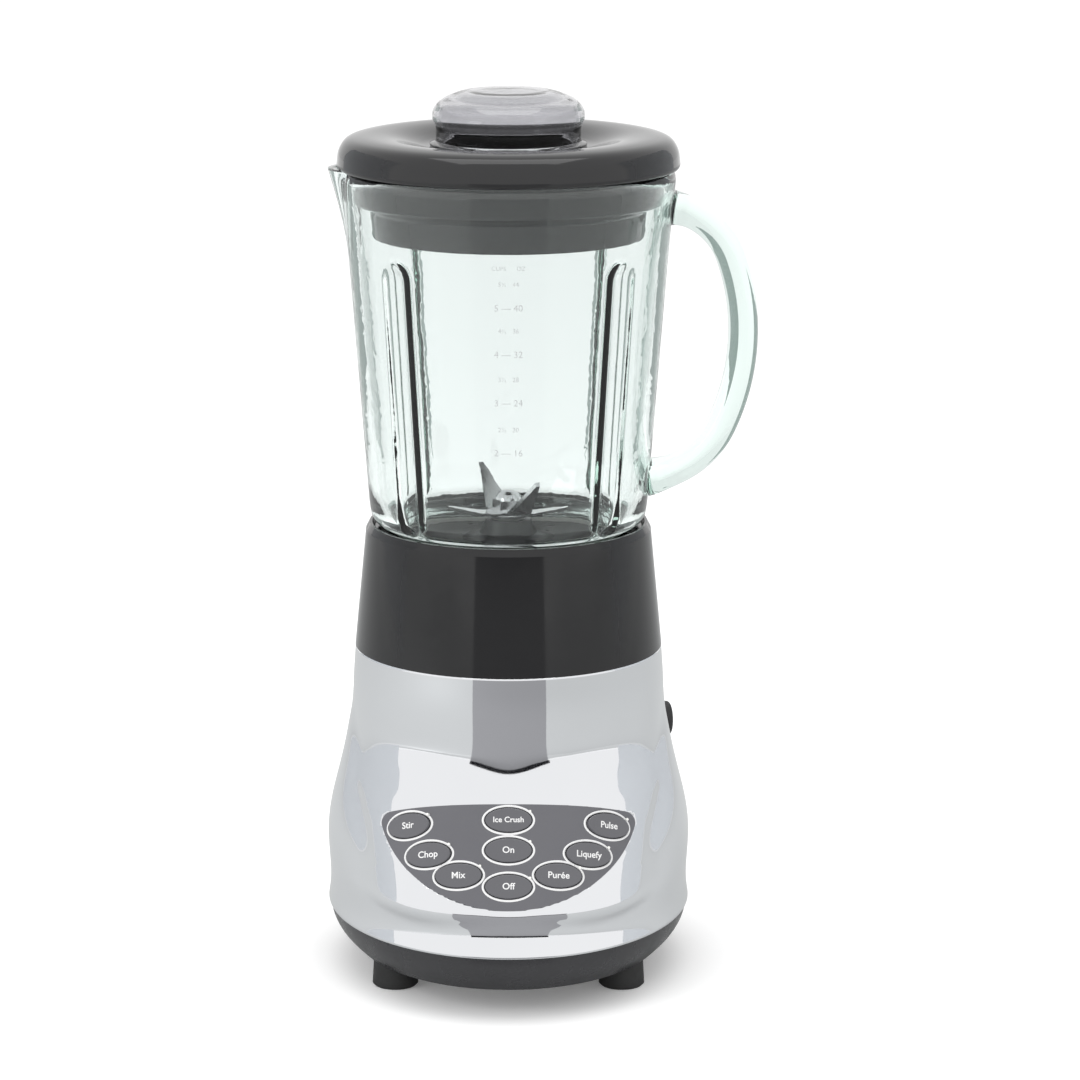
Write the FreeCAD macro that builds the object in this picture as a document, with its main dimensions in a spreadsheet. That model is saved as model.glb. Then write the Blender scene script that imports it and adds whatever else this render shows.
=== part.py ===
import FreeCAD, Part
import math
import os
import re
import Sketcher
from FreeCAD import Placement, Rotation, Vector

# Countertop blender: chromed motor base with a nine-key panel, locking ring, blade unit,
# glass jar with a moulded handle, lid and measuring cap.
# Millimetres. +Z is the drive axis, the front faces -Y, the jar's handle is on +X and
# its spout on -X. The origin is where the drive axis meets the table.

SIZES = {
    # feet and lower housing
    "foot_radius": 10.0, "foot_height": 12.0, "foot_spread": 49.5, "foot_reach": 46.0,
    "foot_spigot": 5.0, "floor_thickness": 3.0, "lower_wall": 2.8, "lower_inset": 10.5,
    # control board in the front of the lower housing
    "board_reach": 66.0, "board_height": 24.0, "board_thickness": 1.6,
    "board_half_x": 36.0, "board_half_y": 17.0, "board_screw_x": 31.0, "board_screw_y": 12.5,
    # chromed upper housing: skirt with a flared shoulder, round tower and sloping nose
    "seam_height": 29.0, "skirt_half_width": 80.0, "skirt_front": 102.0, "skirt_rear": 92.0,
    "shoulder_height": 54.0, "flare_top": 116.0, "flare_front": 44.0,
    "tower_radius": 68.5, "tower_top_radius": 67.4, "tower_top": 143.0,
    "nose_half_width": 70.0, "nose_squareness": 2.7,
    "apron_top": 88.0, "apron_top_reach": 74.2, "apron_foot": 48.0, "apron_foot_reach": 98.0,
    "upper_wall": 2.6, "seat_ledge": 5.0, "boss_radius": 5.0,
    "housing_boss_x": 60.0, "housing_boss_y": 34.0,
    # keypad
    "panel_radius": 56.5, "panel_lift": 30.0, "panel_above_centre": 20.3,
    "panel_thickness": 1.5, "panel_proud": 0.6, "panel_lip": 1.3,
    "key_arc": 46.0, "key_pitch": 13.3, "key_width": 20.0, "key_depth": 10.6,
    "key_rise": 0.5, "key_body": 3.6, "key_travel": 0.7, "key_clearance": 0.3,
    "dome_radius": 3.0, "dome_height": 0.6, "keypad_plate": 1.6, "lens_radius": 0.6,
    # cord inlet
    "cord_radius": 3.6, "gland_turn": 18.0, "gland_height": 102.0,
    "gland_width": 12.0, "gland_tall": 16.0, "gland_proud": 4.5,
    # jar seat and drive
    "seat_thickness": 4.0, "seat_boss_radius": 42.0, "seat_boss_height": 7.0,
    "shaft_radius": 4.0, "drive_radius": 13.0, "drive_root": 9.5, "drive_length": 12.0,
    "drive_gap": 1.5, "running_clearance": 0.04, "spline_clearance": 0.5,
    # motor
    "core_bottom": 62.0, "core_length": 36.0, "core_half_x": 38.0, "core_half_y": 35.0,
    "rotor_radius": 20.0, "air_gap": 0.8, "bearing_radius": 8.0, "bearing_length": 7.0,
    "bracket_radius": 50.0, "bracket_plate": 3.0, "screw_radius": 1.9,
    "stack_screw_x": 32.5, "stack_screw_y": 29.5, "mount_circle": 44.0,
    "commutator_radius": 11.0, "commutator_low": 44.0, "fan_radius": 34.0,
    "shaft_low": 31.0, "lower_bearing_low": 33.0, "lower_plate_low": 40.0,
    "bracket_drop": 20.0, "mount_low": 121.0, "mount_height": 3.0,
    # locking ring and blade unit
    "ring_height": 55.0, "ring_foot_radius": 67.5, "ring_top_radius": 62.2, "ring_wall": 3.0,
    "ring_shelf": 178.0, "shelf_thickness": 3.0, "shelf_bore": 46.0,
    "flange_radius": 51.0, "flange_thickness": 3.0, "gasket_thickness": 3.0,
    "hub_radius": 11.0, "hub_top": 197.0, "hub_bottom": 172.0, "bushing_radius": 7.0,
    "lug_height": 4.7, "lug_radius": 57.4, "lug_gap": 0.3,
    "blade_thickness": 1.6, "blade_reach": 27.0, "blade_width": 13.0,
    # glass jar
    "jar_wall": 4.2, "neck_radius": 54.0, "jar_mouth_bottom": 44.0,
    "jar_foot_radius": 60.8, "jar_foot_height": 206.0,
    "jar_top_radius": 69.7, "jar_top_height": 322.0, "rim_radius": 72.4, "rim_height": 353.4,
    "flute_radius": 7.0, "flute_sink": 3.0, "flute_bottom": 205.0, "flute_top": 312.0,
    "spout_radius": 21.0, "spout_reach": 57.0, "spout_depth": 38.0,
    "handle_thickness": 13.0, "handle_width": 19.0, "handle_top": 336.5, "handle_start": 66.0,
    "handle_corner": 32.0, "handle_back": 98.0, "handle_sweep": 40.0,
    # lid and measuring cap
    "lid_gap": 0.3, "lid_radius": 74.2, "lid_rise": 14.3, "lid_wall": 2.6,
    "plug_radius": 66.9, "plug_depth": 13.7, "skirt_radius": 59.0, "skirt_depth": 29.2,
    "cap_hole": 31.8, "cap_fit": 0.5, "cap_radius": 33.2, "cap_rise": 25.0, "cap_wall": 2.4,
}

doc = FreeCAD.newDocument("countertop_blender")
sheet = doc.addObject("Spreadsheet::Sheet", "sizes")
for row, (alias, number) in enumerate(SIZES.items(), start=1):
    sheet.set(f"A{row}", str(number))
    sheet.setAlias(f"A{row}", alias)
doc.recompute()

nodes = []


def tied(formula):
    """The formula with each size's name pointed at the sheet."""
    return re.sub(r"[a-z_]+", lambda word: "sizes." + word[0] if word[0] in SIZES else word[0], formula)


def size(formula):
    """The present value of a size or of a formula of sizes."""
    return float(sheet.evalExpression(tied(formula)))


def keep(part, label):
    """Marks a finished sub-part and names it."""
    part.Label = label
    nodes.append(part)
    return part


# ---------------------------------------------------------------- sketches and features

def arc_edge(start, end, radius, left):
    """Arc of a circle from start to end that turns left or right."""
    chord = end - start
    rise = math.sqrt(max(radius ** 2 - (chord.Length / 2) ** 2, 0.0))
    side = Vector(-chord.y, chord.x, 0).normalize() * (rise if left else -rise)
    centre = (start + end) * 0.5 + side
    first, last = (start, end) if left else (end, start)
    angles = [math.atan2(p.y - centre.y, p.x - centre.x) for p in (first, last)]
    return Part.ArcOfCircle(Part.Circle(centre, Vector(0, 0, 1), radius), *angles)


def fix(sketch, kind, places, formula, name):
    """One dimension of a sketch, tied to the sheet."""
    number = sketch.addConstraint(Sketcher.Constraint(kind, *places, size(formula)))
    sketch.renameConstraint(number, name)
    sketch.setExpression("Constraints." + name, tied(formula))


def outline(body, name, plane, corners, height="0"):
    """Closed outline on one of the body's origin planes, height away from it.

    Each corner is (across, up), and one that starts an arc adds its radius and
    'left' or 'right', the way the arc turns."""
    sketch = body.newObject("Sketcher::SketchObject", name)
    origin_plane = [part for part in body.Origin.OriginFeatures if part.Role == plane][0]
    sketch.AttachmentSupport = [(origin_plane, "")]
    sketch.MapMode = "FlatFace"
    sketch.setExpression("AttachmentOffset.Base.z", tied(height))
    points = [Vector(size(corner[0]), size(corner[1]), 0) for corner in corners]
    ends = []
    for index, corner in enumerate(corners):
        start, end = points[index], points[(index + 1) % len(points)]
        if len(corner) == 2:
            sketch.addGeometry(Part.LineSegment(start, end), False)
            ends.append((1, 2))
        else:
            left = corner[3] == "left"
            sketch.addGeometry(arc_edge(start, end, size(corner[2]), left), False)
            ends.append((1, 2) if left else (2, 1))
    for index, corner in enumerate(corners):
        following = (index + 1) % len(corners)
        sketch.addConstraint(
            Sketcher.Constraint("Coincident", index, ends[index][1], following, ends[following][0]))
        start = (index, ends[index][0])
        for kind, formula, axis in (("DistanceX", corner[0], -2), ("DistanceY", corner[1], -1)):
            if formula == "0":
                sketch.addConstraint(Sketcher.Constraint("PointOnObject", *start, axis))
            else:
                fix(sketch, kind, (-1, 1, *start), formula, f"{kind}{index}")
        if len(corner) > 2:
            fix(sketch, "Radius", (index,), corner[2], f"Radius{index}")
    return sketch


def circle(body, name, plane, across, up, radius, height="0"):
    """Circle on one of the body's origin planes."""
    sketch = body.newObject("Sketcher::SketchObject", name)
    origin_plane = [part for part in body.Origin.OriginFeatures if part.Role == plane][0]
    sketch.AttachmentSupport = [(origin_plane, "")]
    sketch.MapMode = "FlatFace"
    sketch.setExpression("AttachmentOffset.Base.z", tied(height))
    centre = Vector(size(across), size(up), 0)
    sketch.addGeometry(Part.Circle(centre, Vector(0, 0, 1), size(radius)), False)
    for kind, formula, axis in (("DistanceX", across, -2), ("DistanceY", up, -1)):
        if formula == "0":
            sketch.addConstraint(Sketcher.Constraint("PointOnObject", 0, 3, axis))
        else:
            fix(sketch, kind, (-1, 1, 0, 3), formula, kind)
    fix(sketch, "Radius", (0,), radius, "Radius")
    return sketch


def new_body(label):
    return doc.addObject("PartDesign::Body", label)


def revolve(body, corners, kind="Revolution", name="section"):
    """Adds (Revolution) or cuts (Groove) a full turn of a half section about Z."""
    sketch = outline(body, name, "XZ_Plane", corners)
    feature = body.newObject("PartDesign::" + kind, kind.lower())
    feature.Profile = sketch
    feature.ReferenceAxis = (sketch, ["V_Axis"])
    feature.Angle = 360
    return feature


def pad(body, sketch, length, kind="Pad"):
    """Adds (Pad) upwards or cuts (Pocket) upwards from a sketch."""
    feature = body.newObject("PartDesign::" + kind, kind.lower())
    feature.Profile = sketch
    feature.setExpression("Length", tied(length))
    if kind == "Pocket":
        feature.Reversed = True
    return feature


def around(body, feature, count):
    """Repeats a feature evenly round the drive axis."""
    pattern = body.newObject("PartDesign::PolarPattern", "pattern")
    pattern.Originals = [feature]
    pattern.Axis = ([part for part in body.Origin.OriginFeatures if part.Role == "Z_Axis"][0], [""])
    pattern.Angle = 360
    pattern.Occurrences = count
    body.Tip = pattern
    return pattern


def rectangle(low_x, low_y, high_x, high_y):
    """Corners of an upright rectangle."""
    return [(low_x, low_y), (high_x, low_y), (high_x, high_y), (low_x, high_y)]


def tube(body, inner, outer, low, high, kind="Revolution"):
    """Ring about Z between two radii and two heights; a solid cylinder when inner is '0'."""
    return revolve(body, rectangle(inner, low, outer, high), kind, "ring_section")


def turned(label, corners):
    """Sub-part that is one turned section."""
    body = new_body(label)
    revolve(body, corners)
    return keep(body, label)


def ring(label, inner, outer, low, high):
    """Sub-part that is a plain ring."""
    body = new_body(label)
    tube(body, inner, outer, low, high)
    return keep(body, label)


def copies(label, master, places):
    """Sub-part made of copies of one master, each at (x, y, z) formulas or at a Placement."""
    group = doc.addObject("Part::Compound", label)
    links = []
    for place in places:
        link = doc.addObject("App::Link", label + "_copy")
        link.LinkedObject = master
        if isinstance(place, Placement):
            link.Placement = place
        else:
            for axis, formula in zip("xyz", place):
                link.setExpression("Placement.Base." + axis, tied(formula))
        links.append(link)
    group.Links = links
    return keep(group, label)


def four(across, along, height="0"):
    """Four places, mirrored left to right and front to rear."""
    return [(f"{side} * {across}", f"{end} * {along}", height) for end in (-1, 1) for side in (-1, 1)]


def screw(name, length, head_radius="2 * screw_radius", head_height="2.4"):
    """Pan-head screw that points up, its head's underside at the origin."""
    body = new_body(name)
    revolve(body, [("0", f"-({head_height})"), (f"{head_radius} - 0.6", f"-({head_height})"),
                   (head_radius, "-1.2"), (head_radius, "0"), ("screw_radius", "0"),
                   ("screw_radius", f"{length} - 1"), ("screw_radius - 1", length), ("0", length)])
    slot = outline(body, "drive_slot", "XY_Plane",
                   rectangle(f"-({head_radius} - 1)", "-0.5", f"{head_radius} - 1", "0.5"),
                   f"-({head_height})")
    pad(body, slot, "1", "Pocket")
    return body


def feature(label, shape):
    """Sub-part whose shape is worked out from the sheet in code."""
    part = doc.addObject("Part::Feature", label)
    part.Shape = shape
    return keep(part, label)


# ---------------------------------------------------------------- free-form housing surfaces

PLAN_POINTS = 36
RING_STEP = 3.5


def plan_curve(height, half_width, front, rear, squareness):
    """Closed plan curve: a rounded nose towards -Y and a half ellipse towards +Y."""
    points = []
    for step in range(PLAN_POINTS):
        turn = 2 * math.pi * step / PLAN_POINTS
        across, along = math.sin(turn), -math.cos(turn)
        reach, power = (front, squareness) if along < 0 else (rear, 2.0)
        sum_of_powers = (abs(across) / half_width) ** power + (abs(along) / reach) ** power
        radius = sum_of_powers ** (-1 / power)
        points.append(Vector(radius * across, radius * along, height))
    even = [step / PLAN_POINTS for step in range(PLAN_POINTS + 1)]
    curve = Part.BSplineCurve()
    curve.interpolate(Points=points, PeriodicFlag=True, Parameters=even)
    return Part.Wire(curve.toShape())


def eased(table, height):
    """Row of a table of plan sizes at a height, by monotone cubic interpolation."""
    heights = [row[0] for row in table]
    last = len(table) - 1
    index = max(0, min(last - 1, sum(value <= height for value in heights) - 1))
    span = heights[index + 1] - heights[index]
    share = (height - heights[index]) / span
    row = [height]
    for column in range(1, len(table[0])):
        values = [line[column] for line in table]
        slopes = [(values[i + 1] - values[i]) / (heights[i + 1] - heights[i]) for i in range(last)]
        ends = []
        for at in (index, index + 1):
            before, after = slopes[max(at - 1, 0)], slopes[min(at, last - 1)]
            ends.append(2 * before * after / (before + after) if before * after > 0 else 0.0)
        row.append((2 * share ** 3 - 3 * share ** 2 + 1) * values[index]
                   + (share ** 3 - 2 * share ** 2 + share) * span * ends[0]
                   + (3 * share ** 2 - 2 * share ** 3) * values[index + 1]
                   + (share ** 3 - share ** 2) * span * ends[1])
    return row


def skin(table, low, high, inset=0.0):
    """Smooth solid through even plan curves of a table, drawn in by inset, from low to high."""
    count = math.ceil((high - low) / RING_STEP)
    wires = []
    for step in range(count + 1):
        height, half_width, front, rear, squareness = eased(table, low + (high - low) * step / count)
        wires.append(plan_curve(height, half_width - inset, front - inset, rear - inset, squareness))
    return Part.makeLoft(wires, True, False)


# The skirt below its shoulder: height above the seam, then how far it stands in from the
# skirt's greatest size at the sides and rear, and at the front.
SKIRT_FOOT = ((0.0, 0.0, 0.0), (5.0, 0.8, 2.5), (7.0, 1.0, 3.1), (13.0, 0.9, 3.5), (19.0, 0.5, 3.9))

# The skirt's flare above the shoulder: share of the height up to the flare's top, and
# share of the way out from the tower at the sides, front and rear, then the squareness.
FLARE = (
    (0.000, 1.00, 0.83, 0.94, 2.05),
    (0.113, 1.01, 0.69, 0.83, 2.20),
    (0.270, 0.91, 0.58, 0.70, 2.25),
    (0.413, 0.73, 0.45, 0.53, 2.33),
    (0.580, 0.50, 0.24, 0.36, 2.40),
    (0.742, 0.30, 0.14, 0.22, 2.30),
    (0.870, 0.18, 0.05, 0.11, 2.10),
    (1.000, 0.04, 0.00, 0.02, 2.00),
    (1.097, -0.09, -0.03, -0.04, 2.00),
)

# The tower above the apron: height above the apron's top, what it is wider and deeper by
# than the tower's radius, and the squareness.
TOWER_FOOT = ((7.0, 0.9, 2.5, 2.35), (14.0, 0.5, 1.1, 2.1), (24.0, 0.2, 0.2, 2.0), (37.0, 0.0, 0.0, 2.0))


def skirt_table():
    """Height, half width, front and rear reach and squareness of the skirt."""
    seam, width = size("seam_height"), size("skirt_half_width")
    front, rear, tower = size("skirt_front"), size("skirt_rear"), size("tower_radius")
    shoulder, top, hidden = size("shoulder_height"), size("flare_top"), size("flare_front")
    table = [(seam + rise, width - side_in, front - front_in, rear - side_in, 2.05)
             for rise, side_in, front_in in SKIRT_FOOT]
    table += [(shoulder + climb * (top - shoulder), tower + sides * (width - tower),
               hidden + ahead * (front - hidden), tower + behind * (rear - tower), squareness)
              for climb, sides, ahead, behind, squareness in FLARE]
    return table


def nose_table():
    """The same sizes of the tower and of the sloping apron that grows out of its front."""
    tower, width, square = size("tower_radius"), size("nose_half_width"), size("nose_squareness")
    slope_top, slope_foot = size("apron_top"), size("apron_foot")
    top_reach, foot_reach = size("apron_top_reach"), size("apron_foot_reach")
    table = [(size("seam_height"), width - 12, foot_reach - 16, tower - 12, 2.5),
             (slope_foot - 14, width - 8, foot_reach - 9, tower - 8, 2.6),
             (slope_foot - 8, width - 3, foot_reach - 2, tower - 3, 2.6),
             (slope_foot - 1, width, foot_reach + 0.4, tower, square)]
    table += [(slope_foot + share * (slope_top - slope_foot), width,
               foot_reach + share * (top_reach - foot_reach), tower, square - (0.1 if share == 1 else 0.0))
              for share in (0.0, 0.25, 0.5, 0.75, 1.0)]
    table += [(slope_top + above, tower + wider, tower + ahead, tower, power)
              for above, wider, ahead, power in TOWER_FOOT]
    cap = size("tower_top_radius")
    return table + [(size("tower_top"), cap, cap, cap, 2.0)]


def tray_table():
    """The same sizes of the lower housing, from its floor out to the seam."""
    seam, low = size("seam_height"), size("foot_height")
    table = []
    for share, pull in ((0.0, 1.0), (0.12, 0.80), (0.35, 0.46), (0.6, 0.22), (0.82, 0.11), (1.0, 0.08)):
        back = pull * size("lower_inset")
        table.append((low + share * (seam - low), size("skirt_half_width") - back,
                      size("skirt_front") - back, size("skirt_rear") - back, 2.05))
    return table


def housing_block(inset=0.0, below=0.0, above=0.0):
    """Solid inside of the upper housing's skin, drawn in by inset and run past its ends."""
    seam, top = size("seam_height") - below, size("tower_top") + above
    return skin(skirt_table(), seam, skirt_table()[-1][0], inset).fuse(skin(nose_table(), seam, top, inset))


def nose_block(inset):
    """Solid inside of the tower and apron alone, drawn in by inset."""
    return skin(nose_table(), size("seam_height"), size("tower_top"), inset)


def apron_point(across, up):
    """Point and outward normal on the apron, across and up its slope from the middle key."""
    run = size("apron_foot_reach") - size("apron_top_reach")
    fall = size("apron_top") - size("apron_foot")
    slope = math.atan2(fall, run)
    up_slope = Vector(0, math.cos(slope), math.sin(slope))
    outward = Vector(0, -math.sin(slope), math.cos(slope))
    middle_height = size("apron_top") - 16.3
    middle = Vector(0, -(size("apron_top_reach") + 16.3 * run / fall), middle_height)
    width, power = size("nose_half_width"), size("nose_squareness")

    def depth(point):
        reach = size("apron_top_reach") + (size("apron_top") - point.z) * run / fall
        return point.y + reach * max(1 - (abs(point.x) / width) ** power, 0.0) ** (1 / power)

    start = middle + Vector(across, 0, 0) + up_slope * up
    low, high = -40.0, 15.0
    for _ in range(50):
        trial = (low + high) / 2
        if depth(start + outward * trial) > 0:
            low = trial
        else:
            high = trial
    point = start + outward * low
    step = 0.01
    gradient = Vector(*[(depth(point + axis * step) - depth(point - axis * step)) / (2 * step)
                        for axis in (Vector(1, 0, 0), Vector(0, 1, 0), Vector(0, 0, 1))])
    return point, (gradient * -1).normalize(), outward, up_slope


def apron_place(across, up):
    """Placement on the apron: local x along the panel, local z straight out of it."""
    point, normal, _, up_slope = apron_point(across, up)
    return Placement(point, Rotation(up_slope.cross(normal), up_slope, normal, "ZYX"))


def panel_prism(margin, near=-30.0, far=12.0):
    """The panel's half-disc outline, grown by margin, run through the apron."""
    middle, _, outward, up_slope = apron_point(0, 0)
    radius = size("panel_radius") + margin
    top = size("panel_above_centre") + margin
    lift = size("panel_lift")
    half = math.sqrt(radius ** 2 - (lift - top) ** 2)
    corner = Vector(half, top, 0)
    edges = [Part.LineSegment(Vector(-half, top, 0), corner).toShape(),
             Part.Arc(corner, Vector(0, lift - radius, 0), Vector(-half, top, 0)).toShape()]
    face = Part.Face(Part.Wire(edges))
    prism = face.extrude(Vector(0, 0, far - near))
    prism = prism.makeFillet(4.0 + margin, [edge for edge in prism.Edges if abs(edge.Length - far + near) < 0.01])
    prism.Placement = Placement(middle + outward * near, Rotation(Vector(1, 0, 0), up_slope, outward, "ZXY"))
    return prism


KEY_TURNS = {"stir": -68.0, "chop": -47.8, "mix": -27.5, "off": 0.0, "puree": 27.5, "liquefy": 47.8,
             "pulse": 68.0}


def key_places():
    """Name and place of each key: seven along the panel's curved edge and two above."""
    places = {}
    for name, turn in KEY_TURNS.items():
        angle = math.radians(turn)
        places[name] = apron_place(size("key_arc") * math.sin(angle),
                                   size("panel_lift") - size("key_arc") * math.cos(angle))
    places["on"] = apron_place(0, 0)
    places["ice_crush"] = apron_place(0, size("key_pitch"))
    return places


def oval(width, depth, low, high):
    """Upright oval prism."""
    wire = Part.Wire(Part.Ellipse(Vector(0, 0, low), width / 2, depth / 2).toShape())
    return Part.Face(wire).extrude(Vector(0, 0, high - low))


def placed(shape, place):
    shape = shape.copy()
    shape.Placement = place.multiply(shape.Placement)
    return shape


# ---------------------------------------------------------------- feet and lower housing

def feet():
    """Four rubber feet, each with a spigot that sits in the floor and a countersunk screw."""
    for name, side, end in (("front_left", -1, -1), ("front_right", 1, -1),
                            ("rear_left", -1, 1), ("rear_right", 1, 1)):
        body = new_body("foot_" + name)
        revolve(body, [("2 * screw_radius + 0.4", "0"), ("foot_radius - 1", "0"),
                       ("foot_radius", "1"), ("foot_radius - 0.6", "foot_height"),
                       ("foot_spigot", "foot_height"),
                       ("foot_spigot", "foot_height + floor_thickness - 0.4"),
                       ("screw_radius + 0.1", "foot_height + floor_thickness - 0.4"),
                       ("screw_radius + 0.1", "5"), ("2 * screw_radius + 0.4", "5")])
        body.setExpression("Placement.Base.x", tied(f"{side} * foot_spread"))
        body.setExpression("Placement.Base.y", tied(f"{end} * foot_reach"))
        keep(body, "foot_" + name)
    copies("foot_screws", screw("foot_screw", "16"), four("foot_spread", "foot_reach", "5"))


def board_place():
    """Middle of the control board's underside."""
    return Vector(0, -size("board_reach"), size("board_height"))


def lower_housing():
    """Dark tray that closes the base: floor with air slots, bosses and board posts."""
    low, seam, floor = size("foot_height"), size("seam_height"), size("floor_thickness")
    outside = skin(tray_table(), low, seam)
    tray = outside.cut(skin(tray_table(), low + floor, seam + 1, size("lower_wall")))
    screw_hole = size("screw_radius") + 0.1
    posts, holes = [], []
    for side in (-1, 1):
        for end in (-1, 1):
            foot = Vector(side * size("foot_spread"), end * size("foot_reach"), low + floor)
            posts.append(Part.makeCylinder(size("foot_spigot") + 2.5, 9, foot))
            holes.append(Part.makeCylinder(size("foot_spigot") + 0.1, floor, foot - Vector(0, 0, floor)))
            holes.append(Part.makeCylinder(screw_hole, 8, foot))
            corner = Vector(side * size("housing_boss_x"), end * size("housing_boss_y"), low)
            posts.append(Part.makeCylinder(size("boss_radius"), seam - low, corner))
            holes.append(Part.makeCylinder(2 * screw_hole + 0.4, 8, corner))
            holes.append(Part.makeCylinder(screw_hole, seam - low, corner))
            rise = size("board_height") - low - floor
            board = board_place() + Vector(side * size("board_screw_x"), end * size("board_screw_y"), -rise)
            posts.append(Part.makeCylinder(3.2, rise, board))
            holes.append(Part.makeCylinder(1.3, rise, board + Vector(0, 0, 2)))
    for row in range(7):
        slot_y = -18 + row * 8
        holes.append(Part.makeBox(44, 3.2, floor, Vector(-22, slot_y, low)))
    posts = [post.common(outside) for post in posts]
    feature("lower_housing", tray.fuse(posts).cut(Part.makeCompound(holes)))


def control_board():
    """Circuit board over the front of the tray, with its parts and screws."""
    body = new_body("control_board")
    sketch = outline(body, "board_outline", "XY_Plane",
                     rectangle("-board_half_x", "-board_half_y", "board_half_x", "board_half_y"))
    pad(body, sketch, "board_thickness")
    hole = circle(body, "screw_hole", "XY_Plane", "board_screw_x", "board_screw_y", "1.4")
    pocket = pad(body, hole, "board_thickness", "Pocket")
    mirrored = body.newObject("PartDesign::MultiTransform", "four_holes")
    mirrored.Originals = [pocket]
    steps = []
    for role in ("YZ_Plane", "XZ_Plane"):
        step = body.newObject("PartDesign::Mirrored", "mirror_" + role)
        step.MirrorPlane = ([part for part in body.Origin.OriginFeatures if part.Role == role][0], [""])
        steps.append(step)
    mirrored.Transformations = steps
    body.Tip = mirrored
    body.setExpression("Placement.Base.y", tied("-board_reach"))
    body.setExpression("Placement.Base.z", tied("board_height"))
    keep(body, "control_board")
    top = board_place() + Vector(0, 0, size("board_thickness"))
    relay = Part.makeBox(20, 14, 12, top + Vector(-24, -5, 0))
    capacitor = Part.makeCylinder(6, 16, top + Vector(4, 2, 0))
    heat_sink = Part.makeBox(4, 18, 14, top + Vector(16, -8, 0))
    controller = Part.makeBox(6, 12, 3, top + Vector(23, -9, 0))
    connector = Part.makeBox(16, 5, 7, top + Vector(-18, 11, 0))
    feature("board_components", Part.makeCompound([relay, capacitor, heat_sink, controller, connector]))
    master = new_body("board_screw")
    revolve(master, [("0", "1.6"), ("0", "-6"), ("1.2", "-6"), ("1.2", "0"), ("2.6", "0"), ("2.6", "1.6")])
    copies("board_screws", master, [
        (f"{side} * board_screw_x", f"{end} * board_screw_y - board_reach", "board_height + board_thickness")
        for side in (-1, 1) for end in (-1, 1)])


# ---------------------------------------------------------------- upper housing and keypad

def gland_place():
    """Place of the cord gland on the housing's flank: local z points outwards."""
    turn = math.radians(size("gland_turn"))
    outward = Vector(math.cos(turn), math.sin(turn), 0)
    share = (size("gland_height") - size("shoulder_height")) / (size("flare_top") - size("shoulder_height"))
    reach = size("tower_radius") + 0.27 * (size("skirt_half_width") - size("tower_radius")) * (2 - 1.3 * share)
    point = outward * reach + Vector(0, 0, size("gland_height"))
    return Placement(point, Rotation(outward.cross(Vector(0, 0, 1)) * -1, Vector(0, 0, 1), outward, "ZYX"))


def upper_housing():
    """Chromed casting: skirt, tower and nose in one shell, open below and on top."""
    seam, top, wall = size("seam_height"), size("tower_top"), size("upper_wall")
    outside = housing_block()
    shell = outside.cut(housing_block(wall, 1, 1))
    ledge_top = top - size("seat_thickness") - 0.2
    inner = size("tower_top_radius") - wall
    ledge = Part.makeCylinder(inner + 1, 3, Vector(0, 0, ledge_top - 3)).cut(
        Part.makeCylinder(inner - size("seat_ledge"), 3, Vector(0, 0, ledge_top - 3)))
    posts, holes = [ledge], []
    for side in (-1, 1):
        for end in (-1, 1):
            corner = Vector(side * size("housing_boss_x"), end * size("housing_boss_y"), seam)
            posts.append(Part.makeCylinder(size("boss_radius"), 60, corner).common(outside))
            holes.append(Part.makeCylinder(size("screw_radius") + 0.1, 14, corner))
    shell = shell.fuse(posts)
    recess = panel_prism(0.3).cut(nose_block(size("panel_thickness") - size("panel_proud")))
    window = panel_prism(-size("panel_lip"))
    tall, wide = size("gland_tall") + 0.2, size("gland_width") + 0.2
    gland = oval(tall - 4, wide - 4, -12, 8).fuse(oval(tall, wide, -1.6, 8))
    gland = placed(gland, gland_place().multiply(Placement(Vector(), Rotation(Vector(0, 0, 1), 90))))
    feature("upper_housing", shell.cut(Part.makeCompound(holes)).cut(recess).cut(window).cut(gland))


def cord_gland():
    """Black oval grommet on the right flank: outer lip, neck through the wall, cord bore."""
    tall, wide, proud = size("gland_tall"), size("gland_width"), size("gland_proud")
    lip = oval(tall, wide, -1.5, proud)
    lip = lip.makeFillet(1.8, [edge for edge in lip.Edges if edge.BoundBox.ZMin > proud - 0.1])
    neck = oval(tall - 4, wide - 4, -9, 0)
    gland = lip.fuse(neck).cut(Part.makeCylinder(size("cord_radius"), 30, Vector(0, 0, -15)))
    gland = placed(gland, gland_place().multiply(Placement(Vector(), Rotation(Vector(0, 0, 1), 90))))
    feature("cord_gland", gland.removeSplitter())


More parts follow.
